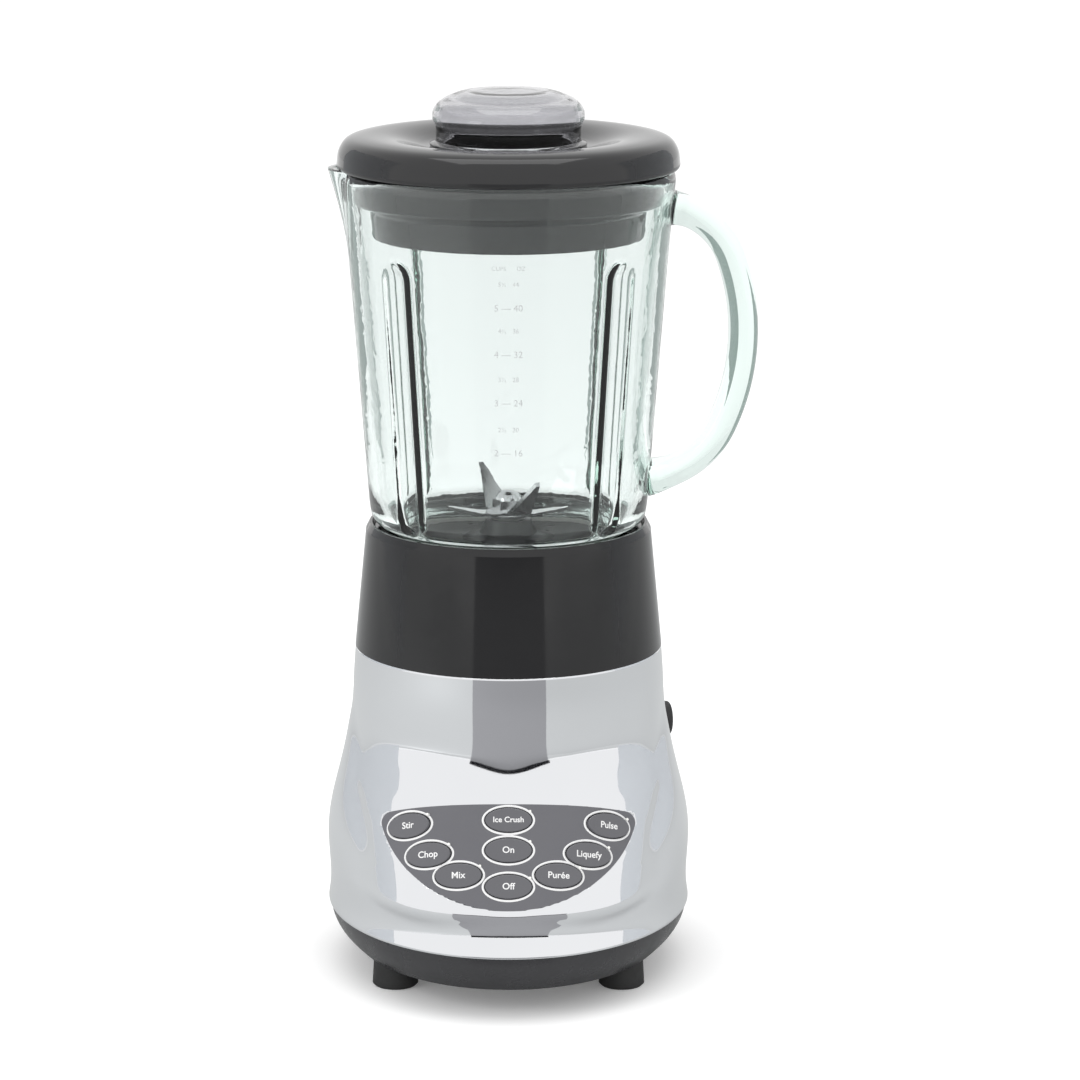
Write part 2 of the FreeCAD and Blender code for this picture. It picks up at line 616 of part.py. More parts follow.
def keypad():
    """Grey panel let into the apron, nine oval keys through it, and the switch tray behind."""
    sunk, proud, wall = size("panel_thickness") - size("panel_proud"), size("panel_proud"), size("upper_wall")

    def layer(prism, outer, inner):
        """The part of a prism that lies between two depths below the apron's surface."""
        return prism.common(nose_block(outer)).cut(nose_block(inner))

    places = key_places()
    clearance = size("key_clearance")
    key_hole = oval(size("key_width") + 2 * clearance, size("key_depth") + 2 * clearance, -6, 6)
    lens_x, lens_y = 0.46 * size("key_width"), 0.37 * size("key_depth")
    lens_place = Placement(Vector(lens_x, lens_y, 0), Rotation())
    lens_hole = Part.makeCylinder(size("lens_radius") + 0.05, 8, Vector(0, 0, -4))
    openings = [placed(key_hole, place) for place in places.values()]
    openings += [placed(lens_hole, place.multiply(lens_place)) for place in places.values()]
    panel = layer(panel_prism(0), -proud, sunk)
    feature("control_panel", panel.cut(Part.makeCompound(openings)))

    lens = Part.makeCylinder(size("lens_radius"), 1.4, Vector(0, 0, -0.8))
    feature("indicator_lenses", Part.makeCompound(
        [placed(lens, place.multiply(lens_place)) for place in places.values()]))

    rise, depth = size("panel_proud + key_rise"), size("key_body")
    key = oval(size("key_width"), size("key_depth"), rise - depth, rise)
    key = key.makeFillet(0.45, [edge for edge in key.Edges if edge.BoundBox.ZMin > rise - 0.1])
    blank = doc.addObject("Part::Feature", "key_blank")
    blank.Shape = key
    for name, place in places.items():
        copies("key_" + name, blank, [place])

    lean = -apron_point(0, 0)[2].y
    dome_top = size("key_body - key_rise - panel_proud + key_travel + 0.2")
    under = (dome_top + size("dome_height")) / lean
    block = layer(panel_prism(2), wall + 0.05, under + size("keypad_plate"))
    well = panel_prism(0.5 - size("panel_lip")).cut(nose_block(under))
    tray = block.cut(well)
    feature("keypad_tray", tray)
    dome = Part.makeCylinder(size("dome_radius"), size("dome_height") + 0.5,
                             Vector(0, 0, -dome_top - size("dome_height") - 0.5))
    domes = Part.makeCompound([placed(dome, place) for place in places.values()])
    feature("dome_switches", domes.cut(tray))


# ---------------------------------------------------------------- jar seat and motor

def jar_seat():
    """Black deck in the tower's top that carries the ring and hangs the motor."""
    body = new_body("jar_seat")
    edge = "tower_top_radius - upper_wall - 0.3"
    under = "tower_top - 0.2 - seat_thickness"
    revolve(body, [("9", under), (edge, under), (edge, "tower_top - 0.2"),
                   ("seat_boss_radius + 2", "tower_top - 0.2"),
                   ("seat_boss_radius", "tower_top + seat_boss_height"),
                   ("9", "tower_top + seat_boss_height")])
    rib = outline(body, "rib", "XY_Plane", rectangle("seat_boss_radius - 1", "-5", "57", "5"), under)
    around(body, pad(body, rib, "seat_thickness + 6"), 4)
    doc.recompute()
    low = "mount_low + mount_height"
    boss = circle(body, "motor_boss", "XY_Plane", "mount_circle", "0", "boss_radius", low)
    around(body, pad(body, boss, f"{under} - ({low})"), 4)
    doc.recompute()
    bore = circle(body, "motor_boss_bore", "XY_Plane", "mount_circle", "0", "screw_radius + 0.1", low)
    around(body, pad(body, bore, "12", "Pocket"), 4)
    keep(body, "jar_seat")


def stack_holes(body, radius, low, length):
    """The four long-screw holes through a motor part."""
    for index, (across, along, _) in enumerate(four("stack_screw_x", "stack_screw_y")):
        pad(body, circle(body, f"stack_hole_{index}", "XY_Plane", across, along, radius, low), length, "Pocket")


def motor_bracket(label, plate_low, cup_low, cup_high, post_low, post_length):
    """Bearing bracket: pierced plate, bearing cup and four drilled posts that reach the core."""
    body = new_body(label)
    cup = "bearing_radius + 3"
    revolve(body, [("bearing_radius", cup_low), (cup, cup_low), (cup, plate_low),
                   ("bracket_radius", plate_low), ("bracket_radius", f"{plate_low} + bracket_plate"),
                   (cup, f"{plate_low} + bracket_plate"), (cup, cup_high), ("bearing_radius", cup_high)])
    for index, (across, along, _) in enumerate(four("stack_screw_x", "stack_screw_y")):
        pad(body, circle(body, f"post_{index}", "XY_Plane", across, along, "4", post_low), post_length)
    window = outline(body, "window", "XY_Plane", rectangle("15", "-9", "33", "9"), plate_low)
    around(body, pad(body, window, "bracket_plate", "Pocket"), 4)
    doc.recompute()
    stack_holes(body, "screw_radius + 0.1", "core_bottom - 22", "core_length + 45")
    return body


def motor():
    """Universal motor: laminated field core and coils, brackets, bearings, brushes and rotor."""
    core_top = "core_bottom + core_length"
    body = new_body("field_core")
    half_x, half_y = "core_half_x", "core_half_y"
    square = outline(body, "lamination", "XY_Plane",
                     [(f"-{half_x} + 8", f"-{half_y}"), (f"{half_x} - 8", f"-{half_y}", "8", "left"),
                      (half_x, f"-{half_y} + 8"), (half_x, f"{half_y} - 8", "8", "left"),
                      (f"{half_x} - 8", half_y), (f"-{half_x} + 8", half_y, "8", "left"),
                      (f"-{half_x}", f"{half_y} - 8"), (f"-{half_x}", f"-{half_y} + 8", "8", "left")],
                     "core_bottom")
    pad(body, square, "core_length")
    tube(body, "0", "rotor_radius + air_gap", "core_bottom", core_top, "Groove")
    slot = outline(body, "coil_slot", "XY_Plane", rectangle("10", "-27", "26", "27"), "core_bottom")
    around(body, pad(body, slot, "core_length", "Pocket"), 2)
    doc.recompute()
    stack_holes(body, "screw_radius + 0.1", "core_bottom", "core_length")
    keep(body, "field_core")

    coil = new_body("field_coil")
    loop = outline(coil, "loop", "XY_Plane", rectangle("-25.6", "21.6", "25.6", "26.8"), "core_bottom - 5")
    pad(coil, loop, "core_length + 10")
    doc.recompute()
    opening = outline(coil, "opening", "XY_Plane", rectangle("-11", "21.6", "11", "26.8"), "core_bottom - 0.2")
    pad(coil, opening, "core_length + 0.4", "Pocket")
    return coil


def field_coils(coil):
    """Two coils, one round each pole."""
    turned_round = Placement(Vector(), Rotation(Vector(0, 0, 1), 180))
    copies("field_coils", coil, [Placement(), turned_round])


def rotor():
    """Everything that spins in the motor, up to the drive coupling."""
    core_top = "core_bottom + core_length"
    ring("motor_shaft", "0", "shaft_radius", "shaft_low", "tower_top + seat_boss_height + drive_gap + drive_length")

    core = new_body("armature_core")
    tube(core, "shaft_radius", "rotor_radius", "core_bottom", core_top)
    slot = outline(core, "winding_slot", "XY_Plane", rectangle("14", "-1.6", "rotor_radius + 1", "1.6"),
                   "core_bottom")
    around(core, pad(core, slot, "core_length", "Pocket"), 12)
    keep(core, "armature_core")

    windings = new_body("armature_windings")
    tube(windings, "shaft_radius", "16", "core_bottom - 6", "core_bottom")
    tube(windings, "shaft_radius", "16", core_top, f"{core_top} + 6")
    bar = outline(windings, "slot_bar", "XY_Plane", rectangle("14.2", "-1.4", "rotor_radius - 0.6", "1.4"),
                  "core_bottom - 3")
    around(windings, pad(windings, bar, "core_length + 6"), 12)
    bridge = outline(windings, "bar_bridge", "XY_Plane", rectangle("12", "-1.4", "15", "1.4"),
                     "core_bottom - 3")
    around(windings, pad(windings, bridge, "3"), 12)
    keep(windings, "armature_windings")

    commutator = new_body("commutator")
    tube(commutator, "shaft_radius", "commutator_radius", "commutator_low", "core_bottom - 7")
    groove = outline(commutator, "segment_gap", "XY_Plane",
                     rectangle("commutator_radius - 1.5", "-0.25", "commutator_radius + 1", "0.25"),
                     "commutator_low")
    around(commutator, pad(commutator, groove, "core_bottom - 7 - commutator_low", "Pocket"), 24)
    keep(commutator, "commutator")

    fan = new_body("cooling_fan")
    fan_low = f"{core_top} + 8"
    tube(fan, "shaft_radius", "9", fan_low, f"{fan_low} + 7")
    tube(fan, "8", "fan_radius", fan_low, f"{fan_low} + 1.4")
    blade = outline(fan, "blade", "XY_Plane", rectangle("8", "-0.8", "fan_radius - 1", "0.8"), fan_low)
    around(fan, pad(fan, blade, "7"), 10)
    keep(fan, "cooling_fan")

    coupling = new_body("drive_coupling")
    low = "tower_top + seat_boss_height + drive_gap"
    tube(coupling, "shaft_radius", "drive_root", low, f"{low} + drive_length")
    tooth = outline(coupling, "tooth", "XY_Plane", rectangle("drive_root - 1", "-2.5", "drive_radius", "2.5"), low)
    around(coupling, pad(coupling, tooth, "drive_length"), 6)
    keep(coupling, "drive_coupling")


def motor_fittings(upper, lower):
    """Bearings, brushes, mounts and screws that hold the motor together."""
    hole = circle(upper, "mount_hole", "XY_Plane", "mount_circle", "0", "screw_radius + 0.1",
                  "mount_low - bracket_plate")
    around(upper, pad(upper, hole, "bracket_plate", "Pocket"), 4)
    keep(upper, "upper_bracket")
    keep(lower, "lower_bracket")
    core_top = "core_bottom + core_length"
    bore = "shaft_radius + running_clearance"
    ring("upper_bearing", bore, "bearing_radius", f"{core_top} + bracket_drop - 2",
         f"{core_top} + bracket_drop - 2 + bearing_length")
    ring("lower_bearing", bore, "bearing_radius", "lower_bearing_low", "lower_bearing_low + bearing_length")

    holder = new_body("brush_holder")
    channel = outline(holder, "channel", "XY_Plane", rectangle("13", "-5.5", "31", "5.5"),
                      "lower_plate_low + bracket_plate")
    pad(holder, channel, "11")
    doc.recompute()
    bore_way = outline(holder, "brush_way", "YZ_Plane", rectangle("-3.6", "46.4", "3.6", "52.6"), "13")
    way = pad(holder, bore_way, "18", "Pocket")
    way.Reversed = True
    half_turn = Placement(Vector(), Rotation(Vector(0, 0, 1), 180))
    copies("brush_holders", holder, [Placement(), half_turn])
    brush = new_body("carbon_brush")
    stick = outline(brush, "stick", "XY_Plane",
                    rectangle("commutator_radius + 0.6", "-3.5", "26", "3.5"), "46.5")
    pad(brush, stick, "6")
    copies("carbon_brushes", brush, [Placement(), half_turn])

    mount = new_body("motor_mount")
    tube(mount, "screw_radius + 0.1", "boss_radius", "mount_low", "mount_low + mount_height")
    copies("motor_mounts", mount, [("mount_circle", "0", "0"), ("-mount_circle", "0", "0"),
                                   ("0", "mount_circle", "0"), ("0", "-mount_circle", "0")])
    low = "mount_low - bracket_plate"
    copies("mount_screws", screw("mount_screw", "14"),
           [("mount_circle", "0", low), ("-mount_circle", "0", low),
            ("0", "mount_circle", low), ("0", "-mount_circle", low)])
    copies("stack_screws", screw("stack_screw", "core_length + 44"),
           four("stack_screw_x", "stack_screw_y", "lower_plate_low"))


# ---------------------------------------------------------------- locking ring and blade unit

def ring_radius(height):
    """Formula of the locking ring's outer radius at a height formula."""
    return (f"ring_foot_radius + (ring_top_radius - ring_foot_radius) * (({height}) - tower_top)"
            " / ring_height")


def locking_ring():
    """Tapered black collar: shelf for the blade unit and four ledges over the jar's lugs."""
    body = new_body("locking_ring")
    foot, top = "tower_top", "tower_top + ring_height"
    shelf_top = "ring_shelf + shelf_thickness"
    room = "lug_radius + 0.6"
    revolve(body, [("ring_foot_radius - ring_wall", foot), ("ring_foot_radius", foot),
                   (ring_radius(f"{top} - 3"), f"{top} - 3"),
                   (ring_radius(f"{top} - 3") + " - 1.6", top), ("jar_foot_radius - 1.1", top),
                   ("jar_foot_radius - 1.6", f"{top} - 1.5"), (room, f"{top} - 3.5"), (room, shelf_top),
                   ("shelf_bore", shelf_top), ("shelf_bore", "ring_shelf"),
                   (ring_radius("ring_shelf") + " - ring_wall", "ring_shelf")])
    ledge_low = f"{jar_bottom()} + 0.4 + lug_height + lug_gap"
    ledge = outline(body, "ledge", "XY_Plane",
                    [("(neck_radius + 0.6) * cos(20)", "-(neck_radius + 0.6) * sin(20)"),
                     ("(lug_radius + 1) * cos(20)", "-(lug_radius + 1) * sin(20)", "lug_radius + 1", "left"),
                     ("(lug_radius + 1) * cos(20)", "(lug_radius + 1) * sin(20)"),
                     ("(neck_radius + 0.6) * cos(20)", "(neck_radius + 0.6) * sin(20)",
                      "neck_radius + 0.6", "right")], ledge_low)
    around(body, pad(body, ledge, "3.4"), 4)
    doc.recompute()
    for index, side in enumerate(("7.4", "-9.6")):
        rib = outline(body, f"rib_{index}", "XY_Plane",
                      rectangle("58.5", side, "ring_foot_radius - ring_wall + 0.6", f"{side} + 2.2"),
                      f"{foot} + 0.3")
        around(body, pad(body, rib, "9"), 4)
        doc.recompute()
    keep(body, "locking_ring")


def jar_bottom():
    """Formula of the height of the glass's bottom edge, just above the gasket."""
    return "ring_shelf + shelf_thickness + flange_thickness + gasket_thickness + 0.2"


def blade_unit():
    """Blade housing with its bushings and seal, and the cutter that spins in it."""
    flange_low = "ring_shelf + shelf_thickness"
    flange_top = f"{flange_low} + flange_thickness"
    turned("blade_housing",
           [("bushing_radius", "hub_bottom"), ("hub_radius", "hub_bottom"), ("hub_radius", flange_low),
            ("flange_radius", flange_low), ("flange_radius", flange_top), ("hub_radius + 10", flange_top),
            ("hub_radius + 2", f"{flange_top} + 4"), ("hub_radius - 1", "hub_top"),
            ("bushing_radius", "hub_top")])
    ring("jar_gasket", "jar_mouth_bottom - 0.6", "flange_radius", flange_top,
         f"{flange_top} + gasket_thickness")
    bore = "shaft_radius + running_clearance"
    ring("lower_bushing", bore, "bushing_radius", "hub_bottom", "hub_bottom + 9")
    ring("upper_bushing", bore, "bushing_radius", "hub_top - 12", "hub_top - 3.5")
    ring("shaft_seal", bore, "bushing_radius", "hub_top - 3.2", "hub_top")

    stack = "hub_top + 1"
    ring("blade_shaft", "0", "shaft_radius", "hub_bottom - 7", f"{stack} + 9")
    ring("thrust_washer", "shaft_radius", "8", stack, f"{stack} + 1.6")
    blade("lower_blade", f"{stack} + 1.6", "20", "3", "0")
    blade("upper_blade", f"{stack} + 1.6 + blade_thickness", "9", "17", "118")
    nut_low = f"{stack} + 1.6 + 2 * blade_thickness"
    nut = new_body("blade_nut")
    hexagon = [(f"7 * cos({60 * turn})", f"7 * sin({60 * turn})") for turn in range(6)]
    pad(nut, outline(nut, "hexagon", "XY_Plane", hexagon, nut_low), "5")
    doc.recompute()
    revolve(nut, [("0", f"{nut_low} + 5"), ("5.8", f"{nut_low} + 5"), ("5.6", f"{nut_low} + 6.2"),
                  ("4.6", f"{nut_low} + 7.6"), ("2.8", f"{nut_low} + 8.6"), ("0", f"{nut_low} + 9")],
            name="dome")
    doc.recompute()
    tube(nut, "0", "shaft_radius", f"{nut_low} - 1", f"{stack} + 9", "Groove")
    keep(nut, "blade_nut")

    low = "tower_top + seat_boss_height + drive_gap + 1.5"
    coupling = new_body("driven_coupling")
    tube(coupling, "0", "drive_radius + 4.5", low, "hub_bottom - 1")
    doc.recompute()
    depth = f"drive_length - 0.5"
    tube(coupling, "0", "drive_root + spline_clearance", f"{low} - 1", f"{low} + {depth}", "Groove")
    doc.recompute()
    tooth = outline(coupling, "tooth_slot", "XY_Plane",
                    rectangle("drive_root - 1", "-(2.5 + spline_clearance)",
                              "drive_radius + spline_clearance", "2.5 + spline_clearance"), low)
    around(coupling, pad(coupling, tooth, depth, "Pocket"), 6)
    doc.recompute()
    tube(coupling, "0", "shaft_radius", "hub_bottom - 7", "hub_bottom", "Groove")
    keep(coupling, "driven_coupling")


def blade(label, low, bend_start, rise, turn):
    """Two-armed steel blade whose pointed wings bend up from a flat hub."""
    start = f"(8 + {bend_start} * 0.2)"
    tip = "blade_reach"
    body = new_body(label)
    side = outline(body, "side_view", "XZ_Plane",
                   [(f"-{tip}", f"{low} + {rise}"), (f"-{start}", low), (start, low), (tip, f"{low} + {rise}"),
                    (f"{tip} - 0.8", f"{low} + {rise} + blade_thickness"),
                    (f"{start} - 0.5", f"{low} + blade_thickness"),
                    (f"-{start} + 0.5", f"{low} + blade_thickness"),
                    (f"-{tip} + 0.8", f"{low} + {rise} + blade_thickness")])
    strip = pad(body, side, "blade_width")
    strip.Midplane = True
    doc.recompute()
    for name, flip in (("front_taper", "-1"), ("rear_taper", "1")):
        for end in ("-1", "1"):
            wedge = [(f"{end} * (blade_reach + 1)", f"{flip} * 0.6"),
                     (f"{end} * 8", f"{flip} * blade_width * 0.5"),
                     (f"{end} * 8", f"{flip} * (blade_width * 0.5 + 1)"),
                     (f"{end} * (blade_reach + 1)", f"{flip} * (blade_width * 0.5 + 1)")]
            corner = "left" if end == "-1" else "right"
            cut = outline(body, f"{name}_{corner}", "XY_Plane", wedge, f"{low} - 1")
            pad(body, cut, "25", "Pocket")
            doc.recompute()
    pad(body, circle(body, "shaft_hole", "XY_Plane", "0", "0", "shaft_radius", f"{low} - 1"), "5", "Pocket")
    body.setExpression("Placement.Rotation.Angle", turn)
    keep(body, label)


# ---------------------------------------------------------------- glass jar, lid and cap

def handle_path():
    """Centre line of the handle: level out of the rim, over a corner, down a long bow and
    back in by a tighter one. Each arc is (radius, degrees it turns through)."""
    point = Vector(size("handle_start"), 0, size("handle_top"))
    edges = [Part.LineSegment(Vector(size("jar_top_radius - jar_wall") - 2, 0, point.z), point)]
    fall = 0.0
    for radius, turn in ((size("handle_corner"), 70), (size("handle_back"), 45), (size("handle_sweep"), 50)):
        centre = point - Vector(math.sin(fall), 0, math.cos(fall)) * radius
        middle, fall = fall + math.radians(turn / 2), fall + math.radians(turn)
        halfway, end = (centre + Vector(math.sin(at), 0, math.cos(at)) * radius for at in (middle, fall))
        edges.append(Part.Arc(point, halfway, end))
        point = end
    edges.append(Part.LineSegment(point, point + Vector(math.cos(fall), 0, -math.sin(fall)) * 9))
    return Part.Wire([edge.toShape() for edge in edges])


def handle():
    """Flattened oval bar swept along the handle's path."""
    path = handle_path()
    start = path.Vertexes[0].Point
    half, flat = size("handle_thickness") / 2, (size("handle_width") - size("handle_thickness")) / 2
    corners = [Vector(0, -flat, half), Vector(0, flat, half), Vector(0, flat, -half), Vector(0, -flat, -half)]
    edges = [Part.LineSegment(corners[0], corners[1]).toShape(),
             Part.Arc(corners[1], Vector(0, flat + half, 0), corners[2]).toShape(),
             Part.LineSegment(corners[2], corners[3]).toShape(),
             Part.Arc(corners[3], Vector(0, -flat - half, 0), corners[0]).toShape()]
    section = Part.Wire(edges)
    section.translate(start)
    return path.makePipeShell([section], True, True)


def flute(radius):
    """Round-ended bar that presses a flute into the jar's corner, leaning with its wall."""
    low, high = size("flute_bottom"), size("flute_top")
    climb = (size("jar_top_radius") - size("jar_foot_radius")) / (
        size("jar_top_height") - size("jar_foot_height"))
    reach = size("flute_radius") - size("flute_sink")
    bottom = Vector(size("jar_foot_radius") + reach + (low - size("jar_foot_height")) * climb, 0, low)
    lean = Vector(climb, 0, 1).normalize()
    length = (high - low) / lean.z
    bar = Part.makeCylinder(radius, length, bottom, lean)
    ends = [Part.makeSphere(radius, bottom), Part.makeSphere(radius, bottom + lean * length)]
    return bar.fuse(ends)


def glass_jar():
    """Thick glass jar: tapered wall with four flutes, poured spout, foot lugs and handle."""
    low = jar_bottom()
    outside, inside = new_body("jar_outside"), new_body("jar_inside")
    revolve(outside, [("0", low), ("neck_radius", low), ("neck_radius", f"{low} + 10.6"),
                      ("jar_foot_radius - 2.2", f"{low} + 11.6"),
                      ("jar_foot_radius", "jar_foot_height"), ("jar_top_radius", "jar_top_height"),
                      ("rim_radius - 0.4", "rim_height - 8"), ("rim_radius", "rim_height - 3"),
                      ("rim_radius - 1.6", "rim_height"), ("0", "rim_height")])
    revolve(inside, [("0", f"{low} - 1"), ("jar_mouth_bottom", f"{low} - 1"),
                     ("jar_mouth_bottom", f"{low} + 3", "24", "left"),
                     ("jar_foot_radius - jar_wall", "jar_foot_height + 2"),
                     ("jar_top_radius - jar_wall", "jar_top_height"),
                     ("rim_radius - jar_wall + 0.4", "rim_height + 1"), ("0", "rim_height + 1")])
    doc.recompute()
    top, depth = size("rim_height"), size("spout_depth")
    reach, radius = size("spout_reach"), size("spout_radius")
    spout = Part.makeCone(radius - 11, radius, depth, Vector(-reach, 0, top - depth))
    spout_inside = Part.makeCone(radius - 11 - size("jar_wall"), radius - size("jar_wall") + 0.6,
                                 depth + 1, Vector(-reach, 0, top - depth))
    lug = new_body("jar_lug")
    cheek = "(neck_radius - 1)"
    pad(lug, outline(lug, "lug", "XY_Plane",
                     [(f"{cheek} * cos(18)", f"-{cheek} * sin(18)"),
                      ("lug_radius * cos(18)", "-lug_radius * sin(18)", "lug_radius", "left"),
                      ("lug_radius * cos(18)", "lug_radius * sin(18)"),
                      (f"{cheek} * cos(18)", f"{cheek} * sin(18)", cheek, "right")], f"{low} + 0.4"),
        "lug_height")
    doc.recompute()
    quarter = [Rotation(Vector(0, 0, 1), 90 * turn) for turn in range(4)]
    lugs = [placed(lug.Shape, Placement(Vector(), turn)) for turn in quarter]
    corner = Placement(Vector(), Rotation(Vector(0, 0, 1), 45))
    flutes = Part.makeCompound([placed(placed(flute(size("flute_radius")), corner), Placement(Vector(), turn))
                                for turn in quarter])
    ribs = Part.makeCompound([placed(placed(flute(size("flute_radius") + size("jar_wall")), corner),
                                     Placement(Vector(), turn)) for turn in quarter])
    cavity = inside.Shape.fuse(spout_inside).cut(ribs)
    glass = outside.Shape.fuse([spout, handle()] + lugs).cut(flutes).cut(cavity)
    feature("glass_jar", glass)


def jar_lid():
    """Dark lid: rolled brim on the rim, plug and skirt in the jar, dished top round the cap."""
    seat = "rim_height + lid_gap"
    top = f"{seat} + lid_rise"
    turned("jar_lid",
           [("cap_hole", f"{seat} - 1.7"), ("cap_hole + 2.7", f"{seat} - 1.7"), ("cap_hole + 2.7", f"{seat} + 4"),
            ("52", f"{top} - 4.6"), ("plug_radius - lid_wall", f"{seat} + 3.5"),
            ("plug_radius - lid_wall", f"{seat} - plug_depth + 2"),
            ("skirt_radius - 1.8", f"{seat} - plug_depth - 2"), ("skirt_radius - 2.4", f"{seat} - skirt_depth"),
            ("skirt_radius", f"{seat} - skirt_depth"), ("skirt_radius + 0.8", f"{seat} - plug_depth - 3.4"),
            ("plug_radius", f"{seat} - plug_depth"), ("plug_radius", seat), ("lid_radius - 0.8", seat),
            ("lid_radius", f"{seat} + 0.8"), ("lid_radius - 0.5", f"{seat} + 5", "11", "left"),
            ("lid_radius - 11.5", top), ("52", f"{top} - 0.6"), ("cap_hole + 4.4", f"{top} - 5.2"),
            ("cap_hole", f"{top} - 5.6")])


def measuring_cap():
    """Clear cup that closes the lid's hole upside down: domed top, bead and open skirt."""
    seat = "rim_height + lid_gap + lid_rise - 5.3"
    crown = f"{seat} + cap_rise"
    fit, wall = "cap_hole - cap_fit", "cap_wall"
    turned("measuring_cap",
           [("0", crown), ("0", f"{crown} - cap_wall"),
            ("20 - 0.4 * cap_wall", f"{crown} - 1 - cap_wall"),
            ("cap_radius - 2 - cap_wall", f"{crown} - 7.5"), ("cap_radius - cap_wall", f"{crown} - 12"),
            (f"{fit} - {wall}", f"{crown} - 17"), (f"{fit} - 2 - {wall}", f"{seat} - 18"),
            (f"{fit} - 2", f"{seat} - 18"), (fit, f"{seat} - 8"), (fit, seat),
            ("cap_hole + 2.2", seat), ("cap_hole + 2.2", f"{seat} + 1.6"), (fit, f"{seat} + 2.4"),
            (fit, f"{crown} - 16.6"), ("cap_radius - 0.6", f"{crown} - 14.3"), ("cap_radius", f"{crown} - 11.6"),
            ("cap_radius - 0.8", f"{crown} - 8.6"), ("28.5", f"{crown} - 4.4"), ("20", f"{crown} - 1")])


# ---------------------------------------------------------------- assembly

feet()
lower_housing()
control_board()
upper_housing()
copies("housing_screws", screw("housing_screw", "seam_height - 8"),
       four("housing_boss_x", "housing_boss_y", "foot_height + 8"))
cord_gland()
keypad()
jar_seat()
field_coils(motor())
rotor()
stack_top = "core_bottom + core_length"
motor_fittings(
    motor_bracket("upper_bracket", f"{stack_top} + bracket_drop", f"{stack_top} + bracket_drop - 2",
                  f"{stack_top} + bracket_drop + 5", stack_top, "bracket_drop"),
    motor_bracket("lower_bracket", "lower_plate_low", "lower_bearing_low", "commutator_low - 0.4",
                  "lower_plate_low + bracket_plate", "core_bottom - lower_plate_low - bracket_plate"))
locking_ring()
blade_unit()
glass_jar()
jar_lid()
measuring_cap()
doc.recompute()

for part in doc.Objects:
    if "Invalid" in part.State or "Error" in part.State:
        raise SystemExit(f"{part.Label}: {part.State}")
for part in nodes:
    if part.Shape.isNull() or not part.Shape.isValid() or not part.Shape.Solids:
        raise SystemExit(f"{part.Label}: no valid solid")

os.makedirs("parts", exist_ok=True)
for part in nodes:
    part.Shape.exportStep(f"parts/{part.Label}.step")
    print(f"{part.Label}: {len(part.Shape.Solids)} solid(s), {part.Shape.Volume / 1000:.2f} cm3")
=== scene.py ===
import math

import bpy
import numpy as np
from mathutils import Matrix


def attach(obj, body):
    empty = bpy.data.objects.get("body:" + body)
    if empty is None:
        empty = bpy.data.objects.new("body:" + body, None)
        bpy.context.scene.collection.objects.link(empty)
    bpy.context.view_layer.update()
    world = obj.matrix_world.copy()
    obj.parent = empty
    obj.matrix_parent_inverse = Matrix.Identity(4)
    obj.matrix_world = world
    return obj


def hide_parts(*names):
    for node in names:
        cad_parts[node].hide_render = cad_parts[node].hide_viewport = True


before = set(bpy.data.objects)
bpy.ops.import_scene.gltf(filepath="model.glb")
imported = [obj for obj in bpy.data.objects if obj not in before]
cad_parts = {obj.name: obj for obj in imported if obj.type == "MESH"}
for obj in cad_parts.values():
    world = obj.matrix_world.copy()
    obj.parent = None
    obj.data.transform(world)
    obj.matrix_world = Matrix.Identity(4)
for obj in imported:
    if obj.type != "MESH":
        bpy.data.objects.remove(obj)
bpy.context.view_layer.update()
scene = bpy.context.scene

# ---------------------------------------------------------------- camera
# A long lens stands nearly two metres in front of the blender, a little above its lid,
# and looks slightly down at it.
camera = bpy.data.objects.new("camera", bpy.data.cameras.new("camera"))
scene.collection.objects.link(camera)
scene.camera = camera
camera.location = (0.0, -1.888, 0.604)
camera.rotation_euler = (math.radians(77.6), 0.0, 0.0)
camera.data.sensor_width = 36.0
camera.data.lens = 146.67
camera.data.shift_x = 0.0292
scene.view_settings.view_transform = "Standard"

# ---------------------------------------------------------------- studio
# White paper floor, lit a little from below, under a white sky and two soft lamps. Grey
# and dark cards that only mirrors or glass see draw the bands down the chrome and the bar.
sky = bpy.data.worlds.new("studio")
scene.world = sky
sky.use_nodes = True
sky.node_tree.nodes["Background"].inputs["Color"].default_value = (1.0, 1.0, 1.0, 1.0)
sky.node_tree.nodes["Background"].inputs["Strength"].default_value = 1.0


def sheet(name, corners, material):
    """Flat sheet with the corners given in metres, not part of the blender."""
    mesh = bpy.data.meshes.new(name)
    mesh.from_pydata(corners, [], [list(range(len(corners)))])
    mesh.materials.append(material)
    made = bpy.data.objects.new(name, mesh)
    scene.collection.objects.link(made)
    return made


def dull(name, colour, glow=0.0):
    """Matt material of one colour for the studio's paper and cards, lit from behind."""
    material = bpy.data.materials.new(name)
    material.use_nodes = True
    shader = material.node_tree.nodes["Principled BSDF"]
    shader.inputs["Base Color"].default_value = (*colour, 1.0)
    shader.inputs["Roughness"].default_value = 0.9
    shader.inputs["Specular IOR Level"].default_value = 0.0
    shader.inputs["Emission Color"].default_value = (1.0, 1.0, 1.0, 1.0)
    shader.inputs["Emission Strength"].default_value = glow
    return material


def card(name, corners, colour, through_glass=False):
    """Card seen only in mirror-like surfaces, or through glass as well."""
    made = sheet(name, corners, dull(name, colour))
    made.visible_camera = made.visible_diffuse = made.visible_shadow = False
    made.visible_transmission, made.visible_volume_scatter = through_glass, False
    return made


